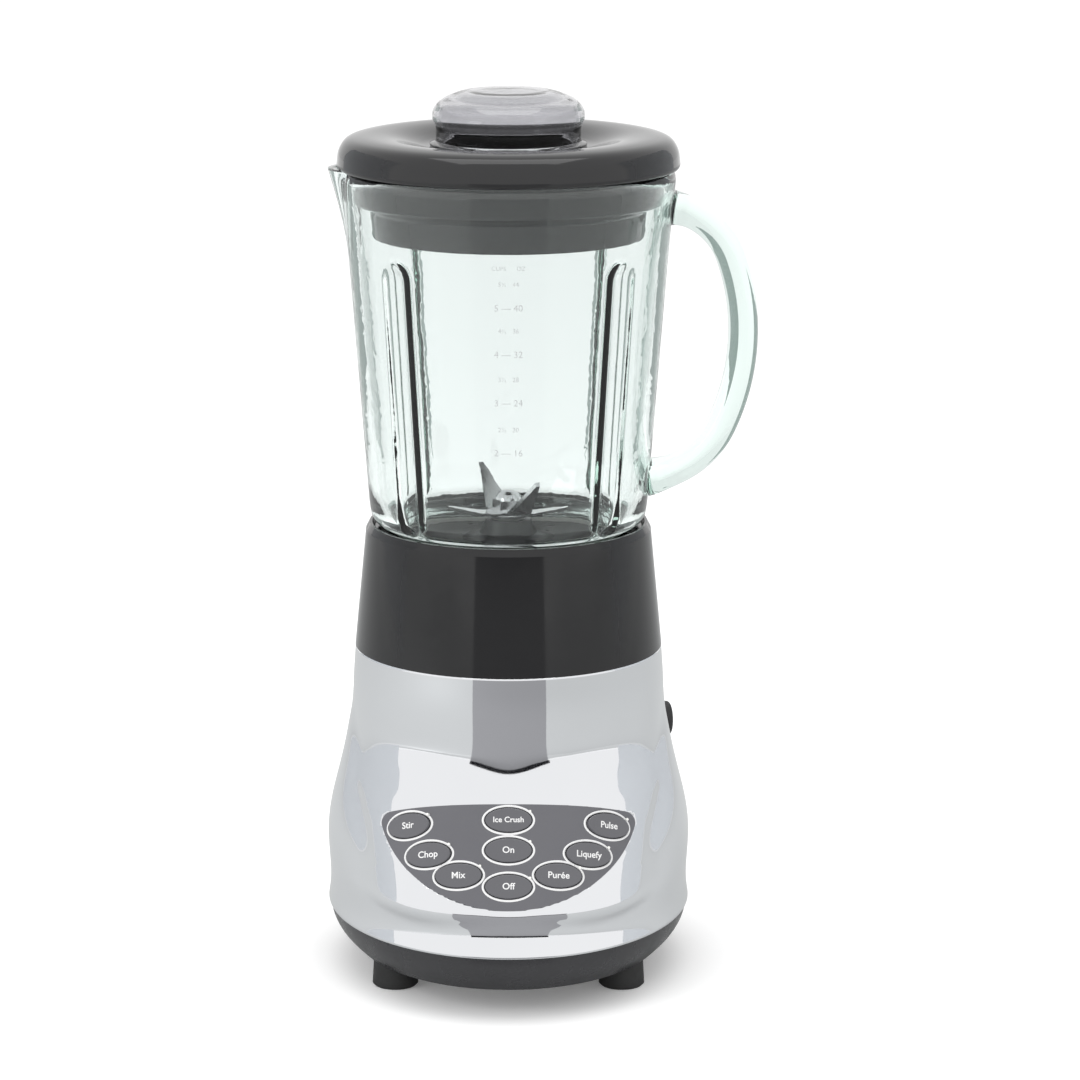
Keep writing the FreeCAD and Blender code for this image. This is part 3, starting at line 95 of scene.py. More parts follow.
sheet("paper_floor", [(-6, -6, 0), (6, -6, 0), (6, 6, 0), (-6, 6, 0)], dull("paper", (0.93, 0.93, 0.93), 0.14))
for name, reach, lift, grey in (("far_floor", 2.8, 0.0003, 0.62), ("near_floor", 1.2, 0.0005, 0.53)):
    card(name, [(-reach, -reach, lift), (reach, -reach, lift), (reach, reach, lift), (-reach, reach, lift)],
         (grey, grey + 0.01, grey + 0.01))
card("front_card", [(-0.045, -0.13, 0.001), (0.05, -0.13, 0.001), (2.85, -5.5, 0.001), (-2.70, -5.5, 0.001)],
     (0.30, 0.30, 0.31))
card("far_card", [(-2.70, -5.5, 0.0), (2.95, -5.5, 0.0), (2.95, -5.5, 0.22), (-2.70, -5.5, 0.22)],
     (0.01, 0.01, 0.012))
for side in (-1, 1):
    card(f"side_card_{side + 1}", [(side * 1.5, -0.15, 0.0), (side * 1.5, 2.0, 0.0), (side * 1.5, 2.0, 1.3),
                                   (side * 1.5, -0.15, 1.3)], (0.55, 0.57, 0.59))
    card(f"glass_card_{side + 1}", [(side * 0.30, 1.0, 0.0), (side * 0.75, 1.0, 0.0), (side * 0.75, 1.0, 0.5),
                                    (side * 0.30, 1.0, 0.5)], (0.27, 0.31, 0.30), through_glass=True
         ).visible_glossy = False


def lamp(name, place, aim, width, height, power):
    """Soft rectangular lamp at a place, turned to shine on a point."""
    light = bpy.data.lights.new(name, "AREA")
    light.shape, light.size, light.size_y, light.energy = "RECTANGLE", width, height, power
    made = bpy.data.objects.new(name, light)
    scene.collection.objects.link(made)
    made.location = place
    towards = np.array(aim) - np.array(place)
    made.rotation_euler = (math.acos(-towards[2] / np.linalg.norm(towards)), 0.0,
                           math.atan2(towards[1], towards[0]) + math.pi / 2 * 3)
    return made


lamp("overhead", (0.0, -0.2, 1.9), (0.0, 0.0, 0.1), 1.6, 1.2, 11.0)
lamp("left_window", (-1.5, -1.0, 0.9), (0.0, 0.0, 0.2), 0.7, 1.2, 8.0).visible_glossy = False

# ---------------------------------------------------------------- rubber feet
# Four round feet moulded in black rubber, each pushed into the floor of the base with
# a countersunk zinc-plated screw through it.


def group(name, wanted, given):
    """Empty shader group with inputs {name: (kind, value)} and outputs {name: kind}."""
    made = bpy.data.node_groups.new(name, "ShaderNodeTree")
    for socket, (kind, value) in wanted.items():
        made.interface.new_socket(socket, in_out="INPUT", socket_type=kind).default_value = value
    for socket, kind in given.items():
        made.interface.new_socket(socket, in_out="OUTPUT", socket_type=kind)
    return made, made.nodes.new("NodeGroupInput"), made.nodes.new("NodeGroupOutput")


def mottle_group():
    """Cloudy mix of two colours, with a roughness that wanders between two values."""
    made, given, result = group(
        "mottle",
        {"Scale": ("NodeSocketFloat", 30.0), "Dark": ("NodeSocketColor", (0, 0, 0, 1)),
         "Light": ("NodeSocketColor", (1, 1, 1, 1)), "Smooth": ("NodeSocketFloat", 0.3),
         "Rough": ("NodeSocketFloat", 0.5)},
        {"Color": "NodeSocketColor", "Roughness": "NodeSocketFloat"})
    link = made.links.new
    place = made.nodes.new("ShaderNodeTexCoord")
    cloud, smear = made.nodes.new("ShaderNodeTexNoise"), made.nodes.new("ShaderNodeTexNoise")
    cloud.inputs["Detail"].default_value, smear.inputs["Detail"].default_value = 4.0, 6.0
    smear.inputs["Distortion"].default_value = 0.6
    mix = made.nodes.new("ShaderNodeMix")
    mix.data_type = "RGBA"
    span = made.nodes.new("ShaderNodeMapRange")
    finer = made.nodes.new("ShaderNodeMath")
    finer.operation = "MULTIPLY"
    finer.inputs[1].default_value = 2.7
    link(given.outputs["Scale"], cloud.inputs["Scale"])
    link(given.outputs["Scale"], finer.inputs[0])
    link(finer.outputs[0], smear.inputs["Scale"])
    for noise in (cloud, smear):
        link(place.outputs["Object"], noise.inputs["Vector"])
    link(cloud.outputs["Fac"], mix.inputs["Factor"])
    link(given.outputs["Dark"], mix.inputs["A"])
    link(given.outputs["Light"], mix.inputs["B"])
    link(smear.outputs["Fac"], span.inputs["Value"])
    span.inputs["From Min"].default_value, span.inputs["From Max"].default_value = 0.3, 0.7
    link(given.outputs["Smooth"], span.inputs["To Min"])
    link(given.outputs["Rough"], span.inputs["To Max"])
    link(mix.outputs["Result"], result.inputs["Color"])
    link(span.outputs["Result"], result.inputs["Roughness"])
    return made


def grain_group():
    """Fine moulded grain: a height made of small noise over a slower ripple."""
    made, given, result = group("grain", {"Scale": ("NodeSocketFloat", 900.0),
                                          "Ripple": ("NodeSocketFloat", 60.0)},
                                {"Height": "NodeSocketFloat"})
    place = made.nodes.new("ShaderNodeTexCoord")
    total = made.nodes.new("ShaderNodeMath")
    for index, name in enumerate(("Scale", "Ripple")):
        noise = made.nodes.new("ShaderNodeTexNoise")
        noise.inputs["Detail"].default_value = 3.0
        made.links.new(place.outputs["Object"], noise.inputs["Vector"])
        made.links.new(given.outputs[name], noise.inputs["Scale"])
        made.links.new(noise.outputs["Fac"], total.inputs[index])
    made.links.new(total.outputs[0], result.inputs["Height"])
    return made


MOTTLE, GRAIN = mottle_group(), grain_group()


def finish(name, dark, light, smooth, rough, cloud=30.0, grain=900.0, ripple=60.0, relief=0.00002, **constants):
    """Material mottled between two colours and two roughnesses, with a grain in relief.

    The relief is in metres; the constants go to the shader's own sockets."""
    material = bpy.data.materials.new(name)
    material.use_nodes = True
    tree = material.node_tree
    shader = tree.nodes["Principled BSDF"]
    mottle, height, bump = (tree.nodes.new("ShaderNodeGroup"), tree.nodes.new("ShaderNodeGroup"),
                            tree.nodes.new("ShaderNodeBump"))
    mottle.node_tree, height.node_tree = MOTTLE, GRAIN
    for socket, value in (("Scale", cloud), ("Dark", (*dark, 1.0)), ("Light", (*light, 1.0)),
                          ("Smooth", smooth), ("Rough", rough)):
        mottle.inputs[socket].default_value = value
    height.inputs["Scale"].default_value, height.inputs["Ripple"].default_value = grain, ripple
    bump.inputs["Distance"].default_value = relief
    tree.links.new(mottle.outputs["Color"], shader.inputs["Base Color"])
    tree.links.new(mottle.outputs["Roughness"], shader.inputs["Roughness"])
    tree.links.new(height.outputs["Height"], bump.inputs["Height"])
    tree.links.new(bump.outputs["Normal"], shader.inputs["Normal"])
    for socket, value in constants.items():
        shader.inputs[socket.replace("_", " ")].default_value = value
    return material


def coat(material, *names):
    """Gives CAD nodes a material."""
    for name in names:
        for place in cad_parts[name].material_slots:
            place.material = material


rubber = finish("black_rubber", (0.012, 0.012, 0.012), (0.03, 0.03, 0.03), 0.45, 0.7, grain=1500.0,
                relief=0.00005)
zinc = finish("zinc_plate", (0.45, 0.45, 0.44), (0.62, 0.62, 0.6), 0.25, 0.45, grain=2500.0, Metallic=1.0)
coat(rubber, "foot_front_left", "foot_front_right", "foot_rear_left", "foot_rear_right", "motor_mounts")
coat(zinc, "foot_screws", "housing_screws", "board_screws", "mount_screws", "stack_screws")

# ---------------------------------------------------------------- lower housing and its board
# Dark semi-gloss moulding that closes the base from below; the speed control's circuit
# board is screwed to posts in its front.
shell_plastic = finish("dark_shell", (0.022, 0.022, 0.024), (0.034, 0.034, 0.037), 0.22, 0.36, grain=2600.0,
                       relief=0.000003)
laminate = finish("green_laminate", (0.01, 0.10, 0.03), (0.02, 0.16, 0.06), 0.3, 0.45, grain=1200.0)
moulded = finish("black_moulding", (0.02, 0.02, 0.022), (0.045, 0.045, 0.048), 0.4, 0.6, grain=1600.0)
coat(shell_plastic, "lower_housing")
coat(laminate, "control_board")
coat(moulded, "board_components", "keypad_tray", "cooling_fan")

# ---------------------------------------------------------------- chromed upper housing
# One thin casting with a mirror plating: an oval skirt whose shoulder flares up into a
# round tower, and a sloping apron that grows out of the tower's front for the keys.
SEAM, TOWER_TOP = 29.0, 143.0
SKIRT_WIDTH, SKIRT_FRONT, SKIRT_REAR = 80.0, 102.0, 92.0
TOWER, SHOULDER, FLARE_TOP, FLARE_FRONT = 68.5, 54.0, 116.0, 44.0
NOSE_WIDTH, NOSE_POWER = 70.0, 2.7
APRON_TOP, APRON_TOP_REACH, APRON_FOOT, APRON_FOOT_REACH = 88.0, 74.2, 48.0, 98.0
APRON_RUN = (APRON_FOOT_REACH - APRON_TOP_REACH) / (APRON_TOP - APRON_FOOT)
CHROME_WALL, CREASE = 2.6, 1.4
SKIRT_PASSES, NOSE_PASSES = 36, 8

# Skirt: height above the seam, how far it stands in at the sides and rear, and in front.
SKIRT_FOOT = ((0.0, 0.0, 0.0), (5.0, 0.8, 2.5), (7.0, 1.0, 3.1), (13.0, 0.9, 3.5), (19.0, 0.5, 3.9))
# Flare: share of its height, and of the way out at the sides, front and rear, and the power.
FLARE = ((0.000, 1.00, 0.83, 0.94, 2.05), (0.113, 1.01, 0.69, 0.83, 2.20), (0.270, 0.91, 0.58, 0.70, 2.25),
         (0.413, 0.73, 0.45, 0.53, 2.33), (0.580, 0.50, 0.24, 0.36, 2.40), (0.742, 0.30, 0.14, 0.22, 2.30),
         (0.870, 0.18, 0.05, 0.11, 2.10), (1.000, 0.04, 0.00, 0.02, 2.00), (1.097, -0.09, -0.03, -0.04, 2.00))
# Tower above the apron: height above it, extra width, extra depth and power.
TOWER_FOOT = ((7.0, 0.9, 2.5, 2.35), (14.0, 0.5, 1.1, 2.1), (24.0, 0.2, 0.2, 2.0), (37.0, 0.0, 0.0, 2.0))


def skirt_rows():
    """Height, half width, front and rear reach and power of the skirt and its flare."""
    rows = [(SEAM + rise, SKIRT_WIDTH - side_in, SKIRT_FRONT - front_in, SKIRT_REAR - side_in, 2.05)
            for rise, side_in, front_in in SKIRT_FOOT]
    return rows + [(SHOULDER + climb * (FLARE_TOP - SHOULDER), TOWER + sides * (SKIRT_WIDTH - TOWER),
                    FLARE_FRONT + ahead * (SKIRT_FRONT - FLARE_FRONT),
                    TOWER + behind * (SKIRT_REAR - TOWER), power)
                   for climb, sides, ahead, behind, power in FLARE]


def nose_rows():
    """The same sizes of the tower and the apron in front of it."""
    rows = [(SEAM, NOSE_WIDTH - 12, APRON_FOOT_REACH - 16, TOWER - 12, 2.5),
            (APRON_FOOT - 14, NOSE_WIDTH - 8, APRON_FOOT_REACH - 9, TOWER - 8, 2.6),
            (APRON_FOOT - 8, NOSE_WIDTH - 3, APRON_FOOT_REACH - 2, TOWER - 3, 2.6),
            (APRON_FOOT - 1, NOSE_WIDTH, APRON_FOOT_REACH + 0.4, TOWER, NOSE_POWER)]
    rows += [(APRON_FOOT + share * (APRON_TOP - APRON_FOOT), NOSE_WIDTH,
              APRON_FOOT_REACH + share * (APRON_TOP_REACH - APRON_FOOT_REACH), TOWER,
              NOSE_POWER - (0.1 if share == 1 else 0.0)) for share in (0.0, 0.25, 0.5, 0.75, 1.0)]
    rows += [(APRON_TOP + above, TOWER + wider, TOWER + ahead, TOWER, power)
             for above, wider, ahead, power in TOWER_FOOT]
    return rows + [(TOWER_TOP, 67.4, 67.4, 67.4, 2.0)]


def eased(rows, heights):
    """Table rows at many heights: cubic curves whose slope at each row is the harmonic
    mean of the slopes on its two sides, or level where those turn round."""
    table = np.array(rows)
    at, sizes = table[:, 0], table[:, 1:]
    slopes = np.diff(sizes, axis=0) / np.diff(at)[:, None]
    before, after = np.vstack([slopes[:1], slopes]), np.vstack([slopes, slopes[-1:]])
    both = before + after
    slope = np.where(before * after > 0, 2 * before * after / np.where(both == 0, 1, both), 0.0)
    row = np.clip(np.searchsorted(at, heights, side="right") - 1, 0, len(at) - 2)
    span = (at[row + 1] - at[row])[:, None]
    share = (heights - at[row])[:, None] / span
    return ((2 * share ** 3 - 3 * share ** 2 + 1) * sizes[row]
            + (share ** 3 - 2 * share ** 2 + share) * span * slope[row]
            + (3 * share ** 2 - 2 * share ** 3) * sizes[row + 1]
            + (share ** 3 - share ** 2) * span * slope[row + 1])


def plan_radius(sizes, turn):
    """Distance from the axis at each height and turn, from the front anticlockwise:
    ((|sin| / half width)^p + (|cos| / reach)^p)^(-1/p), with p = 2 towards the rear."""
    width, front, rear, power = (sizes[:, column, None] for column in range(4))
    ahead = np.cos(turn) > 0
    reach, power = np.where(ahead, front, rear), np.where(ahead, power, 2.0)
    return ((np.abs(np.sin(turn)) / width) ** power + (np.abs(np.cos(turn)) / reach) ** power) ** (-1 / power)


def blended_most(one, other, soft):
    """The larger of two distances, with the corner between them filled over a width soft."""
    return np.maximum(one, other) + np.maximum(soft - np.abs(one - other), 0.0) ** 2 / (4 * soft)


def settled(radii, passes):
    """Radii by height and turn, each drawn towards its neighbours above and below."""
    for _ in range(passes):
        radii[1:-1] = (radii[:-2] + 2 * radii[1:-1] + radii[2:]) / 4
    return radii


def ring_faces(rows, columns, closed=False):
    """Quads of a grid of rows by columns whose columns close on themselves."""
    row = np.arange(rows if closed else rows - 1)[:, None]
    column = np.arange(columns)[None, :]
    above, beside = (row + 1) % rows, (column + 1) % columns
    return np.stack([row * columns + column, row * columns + beside, above * columns + beside,
                     above * columns + column], -1).reshape(-1, 4)


def piece(name, points, faces, material, body, slot, *stands_for):
    """Smooth mesh, given in millimetres, that rides on a body and replaces CAD nodes."""
    mesh = bpy.data.meshes.new(name)
    mesh.from_pydata((np.asarray(points).reshape(-1, 3) / 1000).tolist(), [], [list(face) for face in faces])
    mesh.shade_smooth()
    mesh.materials.append(material)
    made = bpy.data.objects.new(name, mesh)
    scene.collection.objects.link(made)
    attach(made, body)
    if stands_for:
        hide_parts(*stands_for)
    return made


# The apron's middle is under the On key; up and out are its slope's two directions.
APRON_MIDDLE = np.array((0.0, -(APRON_TOP_REACH + 16.3 * APRON_RUN), APRON_TOP - 16.3))
APRON_UP = np.array((0.0, APRON_RUN, 1.0)) / math.hypot(APRON_RUN, 1.0)
APRON_OUT = np.array((0.0, -1.0, APRON_RUN)) / math.hypot(APRON_RUN, 1.0)
PANEL_RADIUS, PANEL_LIFT, PANEL_CHORD, PANEL_CORNER, PANEL_COVER = 56.5, 30.0, 20.3, 4.0, 0.8
GLAND_MIDDLE, GLAND_TURN = np.array((72.36, 23.51, 102.0)), math.radians(18.0)


def past_panel(points):
    """Distance outside the panel's outline: a disc cut by a chord, with rounded corners."""
    up = (points - APRON_MIDDLE) @ APRON_UP
    disc = np.hypot(points[:, 0], up - PANEL_LIFT) - PANEL_RADIUS + PANEL_CORNER
    chord = up - PANEL_CHORD + PANEL_CORNER
    beyond = np.hypot(np.maximum(disc, 0), np.maximum(chord, 0))
    edge = np.minimum(np.maximum(disc, chord), 0) + beyond - PANEL_CORNER
    return np.where(points[:, 1] < -50, edge, 99.0)


def past_gland(points):
    """Distance outside the round hole behind the cord gland."""
    away = points - GLAND_MIDDLE
    across = away @ np.array((-math.sin(GLAND_TURN), math.cos(GLAND_TURN), 0.0))
    return np.where(away @ np.array((math.cos(GLAND_TURN), math.sin(GLAND_TURN), 0.0)) > -20,
                    np.hypot(across, away[:, 2]) - 5.0, 99.0)


def with_hole(points, faces, distance):
    """Removes the faces inside a hole and draws its ragged edge onto the hole's outline."""
    kept = distance(points[faces].mean(axis=1)) > 0
    edge = np.intersect1d(faces[kept], faces[~kept])
    step = 0.01 * np.eye(3)
    slope = np.stack([(distance(points[edge] + way) - distance(points[edge] - way)) / 0.02 for way in step], -1)
    points = points.copy()
    points[edge] -= distance(points[edge])[:, None] * slope
    return points, faces[kept]


chrome = finish("mirror_chrome", (0.80, 0.81, 0.83), (0.86, 0.87, 0.89), 0.025, 0.05, cloud=14.0, grain=300.0,
                ripple=18.0, relief=0.000004, Metallic=1.0)
turn = np.linspace(0, 2 * math.pi, 340, endpoint=False)
heights = np.concatenate([np.linspace(SEAM, 60, 36, endpoint=False), np.linspace(60, TOWER_TOP, 84)])
skirt = settled(plan_radius(eased(skirt_rows(), np.minimum(heights, skirt_rows()[-1][0])), turn), SKIRT_PASSES)
skirt[heights > skirt_rows()[-1][0]] = 0.0
reach = blended_most(skirt, settled(plan_radius(eased(nose_rows(), heights), turn), NOSE_PASSES), CREASE)
casting = np.stack([reach * np.sin(turn), -reach * np.cos(turn), heights[:, None] + 0 * reach], -1)
casting, faces = with_hole(casting.reshape(-1, 3), ring_faces(len(heights), len(turn)),
                           lambda points: past_panel(points) + PANEL_COVER)
casting, faces = with_hole(casting, faces, past_gland)
shell = piece("chrome_housing", casting, faces, chrome, "base", "chrome_shell", "upper_housing")
wall = shell.modifiers.new("wall", "SOLIDIFY")
wall.thickness, wall.offset, wall.use_even_offset = CHROME_WALL / 1000, -1.0, False

# ---------------------------------------------------------------- cord gland
# Soft black grommet pressed into an oval hole in the right flank; the mains cord, which
# is not fitted here, would pass through its bore.
gland_rubber = finish("gland_rubber", (0.012, 0.012, 0.013), (0.022, 0.022, 0.023), 0.35, 0.55, grain=2200.0)
coat(gland_rubber, "cord_gland")

# ---------------------------------------------------------------- key panel
# Satin grey film panel let into the apron, with nine oval keys through it. White rings
# are printed round the keys, and each key carries its word and a tiny clear window.
film = finish("grey_film", (0.105, 0.105, 0.117), (0.125, 0.125, 0.137), 0.30, 0.42, grain=4200.0,
              relief=0.00001)
key_film = finish("grey_key", (0.10, 0.10, 0.11), (0.12, 0.12, 0.13), 0.16, 0.28, grain=4200.0, relief=0.00001)
ink = finish("white_ink", (0.72, 0.72, 0.72), (0.82, 0.82, 0.82), 0.4, 0.6, cloud=300.0, grain=5000.0)
window = finish("clear_window", (0.75, 0.75, 0.72), (0.85, 0.85, 0.82), 0.08, 0.16, cloud=900.0)
spring_steel = finish("dome_steel", (0.6, 0.6, 0.6), (0.75, 0.75, 0.75), 0.15, 0.3, Metallic=1.0)
coat(film, "control_panel")
coat(window, "indicator_lenses")
coat(spring_steel, "dome_switches")

KEY_ARC, KEY_PITCH = 46.0, 13.3
KEYS = {"stir": ("Stir", -68.0), "chop": ("Chop", -47.8), "mix": ("Mix", -27.5), "off": ("Off", 0.0),
        "puree": ("Purée", 27.5), "liquefy": ("Liquefy", 47.8), "pulse": ("Pulse", 68.0)}
key_spots = {name: (word, KEY_ARC * math.sin(math.radians(degrees)),
                    PANEL_LIFT - KEY_ARC * math.cos(math.radians(degrees)))
             for name, (word, degrees) in KEYS.items()}
key_spots["on"] = ("On", 0.0, 0.0)
key_spots["ice_crush"] = ("Ice Crush", 0.0, KEY_PITCH)


def apron_depth(points):
    """How far points lie behind the apron: y + reach at that height * (1 - |x / W|^p)^(1/p)."""
    reach = APRON_TOP_REACH + (APRON_TOP - points[..., 2]) * APRON_RUN
    left = np.maximum(1 - np.abs(points[..., 0] / NOSE_WIDTH) ** NOSE_POWER, 1e-9)
    return points[..., 1] + reach * left ** (1 / NOSE_POWER)


def onto_apron(points, way):
    """Points moved along a direction onto the apron, by Newton's method."""
    for _ in range(6):
        slope = (apron_depth(points + 0.01 * way) - apron_depth(points - 0.01 * way)) / 0.02
        points = points - (apron_depth(points) / slope)[..., None] * way
    return points


def key_axes(across, up):
    """Middle of a key on the apron, and its directions along, up and out of the panel."""
    middle = onto_apron(APRON_MIDDLE + np.array((across, 0, 0)) + up * APRON_UP, APRON_OUT)
    slope = np.array([apron_depth(middle + way) - apron_depth(middle - way) for way in 0.01 * np.eye(3)])
    out = -slope / np.linalg.norm(slope)
    rise = APRON_UP - (APRON_UP @ out) * out
    rise /= np.linalg.norm(rise)
    return middle, np.cross(rise, out), rise, out


def words(name, text, size, bold, place):
    """Word as a thin solid mesh, its flat letters carried to their place by a function."""
    curve = bpy.data.curves.new(name, "FONT")
    curve.body, curve.size, curve.offset, curve.extrude = text, size, bold, 0.04
    curve.align_x, curve.align_y, curve.resolution_u = "CENTER", "CENTER", 4
    made = bpy.data.objects.new(name, curve)
    scene.collection.objects.link(made)
    bpy.context.view_layer.update()
    mesh = bpy.data.meshes.new_from_object(made.evaluated_get(bpy.context.evaluated_depsgraph_get()))
    bpy.data.objects.remove(made)
    letters = np.array([corner.co for corner in mesh.vertices])
    return place(letters), [tuple(face.vertices) for face in mesh.polygons]


ring_turn = np.linspace(0, 2 * math.pi, 72, endpoint=False)
RING_SECTION = ((10.45, 5.75, 0.30), (11.45, 6.75, 0.30), (11.40, 6.70, 0.70), (10.50, 5.80, 0.70))
ring_points, ring_quads = [], []
for name, (word, across, up) in key_spots.items():
    middle, along, rise, out = key_axes(across, up)
    rows = []
    for half_width, half_height, lift in RING_SECTION:
        flat = (middle + half_width * np.cos(ring_turn)[:, None] * along
                + half_height * np.sin(ring_turn)[:, None] * rise)
        rows.append(onto_apron(flat, out) + lift * out)
    ring_quads.append(ring_faces(4, len(ring_turn), closed=True) + 4 * len(ring_turn) * len(ring_points))
    ring_points.append(np.array(rows).reshape(-1, 3))
    coat(key_film, "key_" + name)
    letters, letter_faces = words("word_" + name, word, 3.4 if name == "ice_crush" else 4.0, 0.06,
                                  lambda flat: middle + flat[:, :1] * along + flat[:, 1:2] * rise
                                  + (1.10 + flat[:, 2:]) * out)
    piece("word_" + name, letters, letter_faces, ink, "key_" + name, "key")
piece("key_rings", np.concatenate(ring_points), np.concatenate(ring_quads), ink, "base", "panel")

# ---------------------------------------------------------------- jar seat and motor
# Black deck in the top of the tower, with the motor hung under it on rubber mounts:
# laminated core, enamelled copper coils, die-cast brackets, bronze bearings and brushes.
deck = finish("black_deck", (0.018, 0.018, 0.019), (0.03, 0.03, 0.032), 0.35, 0.55, grain=1800.0)
coat(deck, "jar_seat")
coat(finish("sheet_steel", (0.28, 0.28, 0.29), (0.42, 0.42, 0.43), 0.3, 0.5, Metallic=1.0),
     "field_core", "armature_core")
coat(finish("copper_wire", (0.45, 0.17, 0.07), (0.62, 0.27, 0.13), 0.25, 0.45, grain=1400.0, Metallic=1.0),
     "field_coils", "armature_windings", "commutator")
coat(finish("ground_steel", (0.62, 0.62, 0.62), (0.75, 0.75, 0.75), 0.12, 0.25, Metallic=1.0),
     "motor_shaft", "blade_shaft")
coat(finish("die_cast", (0.45, 0.45, 0.46), (0.6, 0.6, 0.6), 0.35, 0.55, Metallic=1.0),
     "upper_bracket", "lower_bracket")
coat(finish("bronze", (0.42, 0.28, 0.12), (0.56, 0.40, 0.2), 0.3, 0.5, Metallic=1.0),
     "upper_bearing", "lower_bearing", "upper_bushing", "lower_bushing")
coat(finish("pressed_brass", (0.58, 0.43, 0.18), (0.7, 0.54, 0.26), 0.2, 0.4, Metallic=1.0), "brush_holders")
coat(finish("graphite", (0.02, 0.02, 0.02), (0.06, 0.06, 0.06), 0.5, 0.75), "carbon_brushes")
coat(finish("tough_moulding", (0.02, 0.02, 0.021), (0.05, 0.05, 0.052), 0.35, 0.5, grain=1500.0),
     "drive_coupling", "driven_coupling")

# ---------------------------------------------------------------- locking ring
# Tapered collar moulded in gloss black; it screws onto the jar's foot and carries the
# blade unit on an inner shelf.


def rounded(corners, steps=7, hold=0.2):
    """Closed section of (radius, height, rounding) corners, each replaced by a parabola,
    with a point held a little before and after it so the straight runs stay flat."""
    spots = np.array([corner[:2] for corner in corners])
    share = np.linspace(0, 1, steps)[:, None]
    section = []
    for index, (_, _, rounding) in enumerate(corners):
        corner = spots[index]
        before, after = spots[index - 1] - corner, spots[(index + 1) % len(spots)] - corner
        reach_back, reach_on = np.linalg.norm(before), np.linalg.norm(after)
        start = corner + before / reach_back * min(rounding, 0.45 * reach_back)
        end = corner + after / reach_on * min(rounding, 0.45 * reach_on)
        section.append([start + before / reach_back * min(hold, 0.04 * reach_back)])
        section.append((1 - share) ** 2 * start + 2 * share * (1 - share) * corner + share ** 2 * end)
        section.append([end + after / reach_on * min(hold, 0.04 * reach_on)])
    return np.concatenate(section)


def lathed(section, columns=192):
    """Points and faces of a closed section turned about the axis, up on its outside."""
    around = np.linspace(0, 2 * math.pi, columns, endpoint=False)
    radius, height = section[:, :1], section[:, 1:]
    points = np.stack([radius * np.cos(around), radius * np.sin(around), height + 0 * around], -1)
    return points, ring_faces(len(section), columns, closed=True)


gloss_black = finish("gloss_black", (0.012, 0.012, 0.0125), (0.018, 0.018, 0.019), 0.06, 0.13, cloud=20.0,
                     grain=500.0, ripple=25.0, relief=0.000006, Specular_IOR_Level=0.4)
coat(gloss_black, "locking_ring")

# ---------------------------------------------------------------- blade unit
# Black carrier clamped between jar and ring, silicone gasket and seal, and the cutter:
# two bent stainless blades on a shaft under a domed nut.
coat(finish("blade_carrier", (0.02, 0.02, 0.021), (0.04, 0.04, 0.042), 0.25, 0.4, grain=1800.0),
     "blade_housing")
coat(finish("silicone", (0.60, 0.60, 0.57), (0.72, 0.72, 0.69), 0.4, 0.6), "jar_gasket", "shaft_seal")
stainless = finish("stainless", (0.60, 0.60, 0.61), (0.78, 0.78, 0.79), 0.10, 0.24, cloud=120.0, grain=1800.0,
                   relief=0.000008, Metallic=1.0)
coat(stainless, "thrust_washer", "lower_blade", "upper_blade", "blade_nut")

# ---------------------------------------------------------------- glass jar
# Thick pressed glass, faintly green where it is deep: a tapered wall with four upright
# flutes pressed into it, a poured spout, locking lugs at the foot and a loop handle.
JAR_LOW, RIM = 187.2, 353.4
FOOT_RADIUS, FOOT_HEIGHT, BODY_RADIUS, BODY_HEIGHT, RIM_RADIUS = 60.8, 206.0, 69.7, 322.0, 72.4
WALL_LEAN = (BODY_RADIUS - FOOT_RADIUS) / (BODY_HEIGHT - FOOT_HEIGHT)
JAR_WALL, FLUTE, FLUTE_SINK, FLUTE_LOW, FLUTE_HIGH = 4.2, 7.0, 3.0, 205.0, 312.0
SPOUT, SPOUT_REACH, SPOUT_DEPTH, SPOUT_TAPER, SPOUT_WALL = 21.0, 57.0, 38.0, 11.0, 3.6
LUG_RADIUS, LUG_MIDDLE, LUG_HALF_HEIGHT, LUG_HALF_TURN = 57.4, 2.75, 2.4, 72


def glass():
    """Clear shader with a slight green depth and a faint waviness of pressed glass."""
    material = bpy.data.materials.new("pressed_glass")
    material.use_nodes = True
    tree = material.node_tree
    shader, output = tree.nodes["Principled BSDF"], tree.nodes["Material Output"]
    shader.inputs["Base Color"].default_value = (0.885, 0.90, 0.90, 1.0)
    shader.inputs["Roughness"].default_value = 0.0
    shader.inputs["IOR"].default_value = 1.5
    shader.inputs["Transmission Weight"].default_value = 1.0
    depth = tree.nodes.new("ShaderNodeVolumeAbsorption")
    depth.inputs["Color"].default_value = (0.25, 0.80, 0.58, 1.0)
    depth.inputs["Density"].default_value = 9.0
    wave, bump = tree.nodes.new("ShaderNodeGroup"), tree.nodes.new("ShaderNodeBump")
    wave.node_tree = GRAIN
    wave.inputs["Scale"].default_value, wave.inputs["Ripple"].default_value = 70.0, 25.0
    bump.inputs["Distance"].default_value = 0.00010
    tree.links.new(wave.outputs["Height"], bump.inputs["Height"])
    tree.links.new(bump.outputs["Normal"], shader.inputs["Normal"])
    tree.links.new(depth.outputs["Volume"], output.inputs["Volume"])
    return material


def divided(section, step):
    """Closed section with its long runs divided so no step is longer than given."""
    after = np.roll(section, -1, axis=0)
    counts = np.maximum(np.ceil(np.linalg.norm(after - section, axis=1) / step).astype(int), 1)
    share = np.concatenate([np.arange(count) / count for count in counts])[:, None]
    return np.repeat(section, counts, axis=0) * (1 - share) + np.repeat(after, counts, axis=0) * share


def away_from(angle, middle):
    """Signed angle from a middle, between minus pi and pi."""
    return (angle - middle + math.pi) % (2 * math.pi) - math.pi


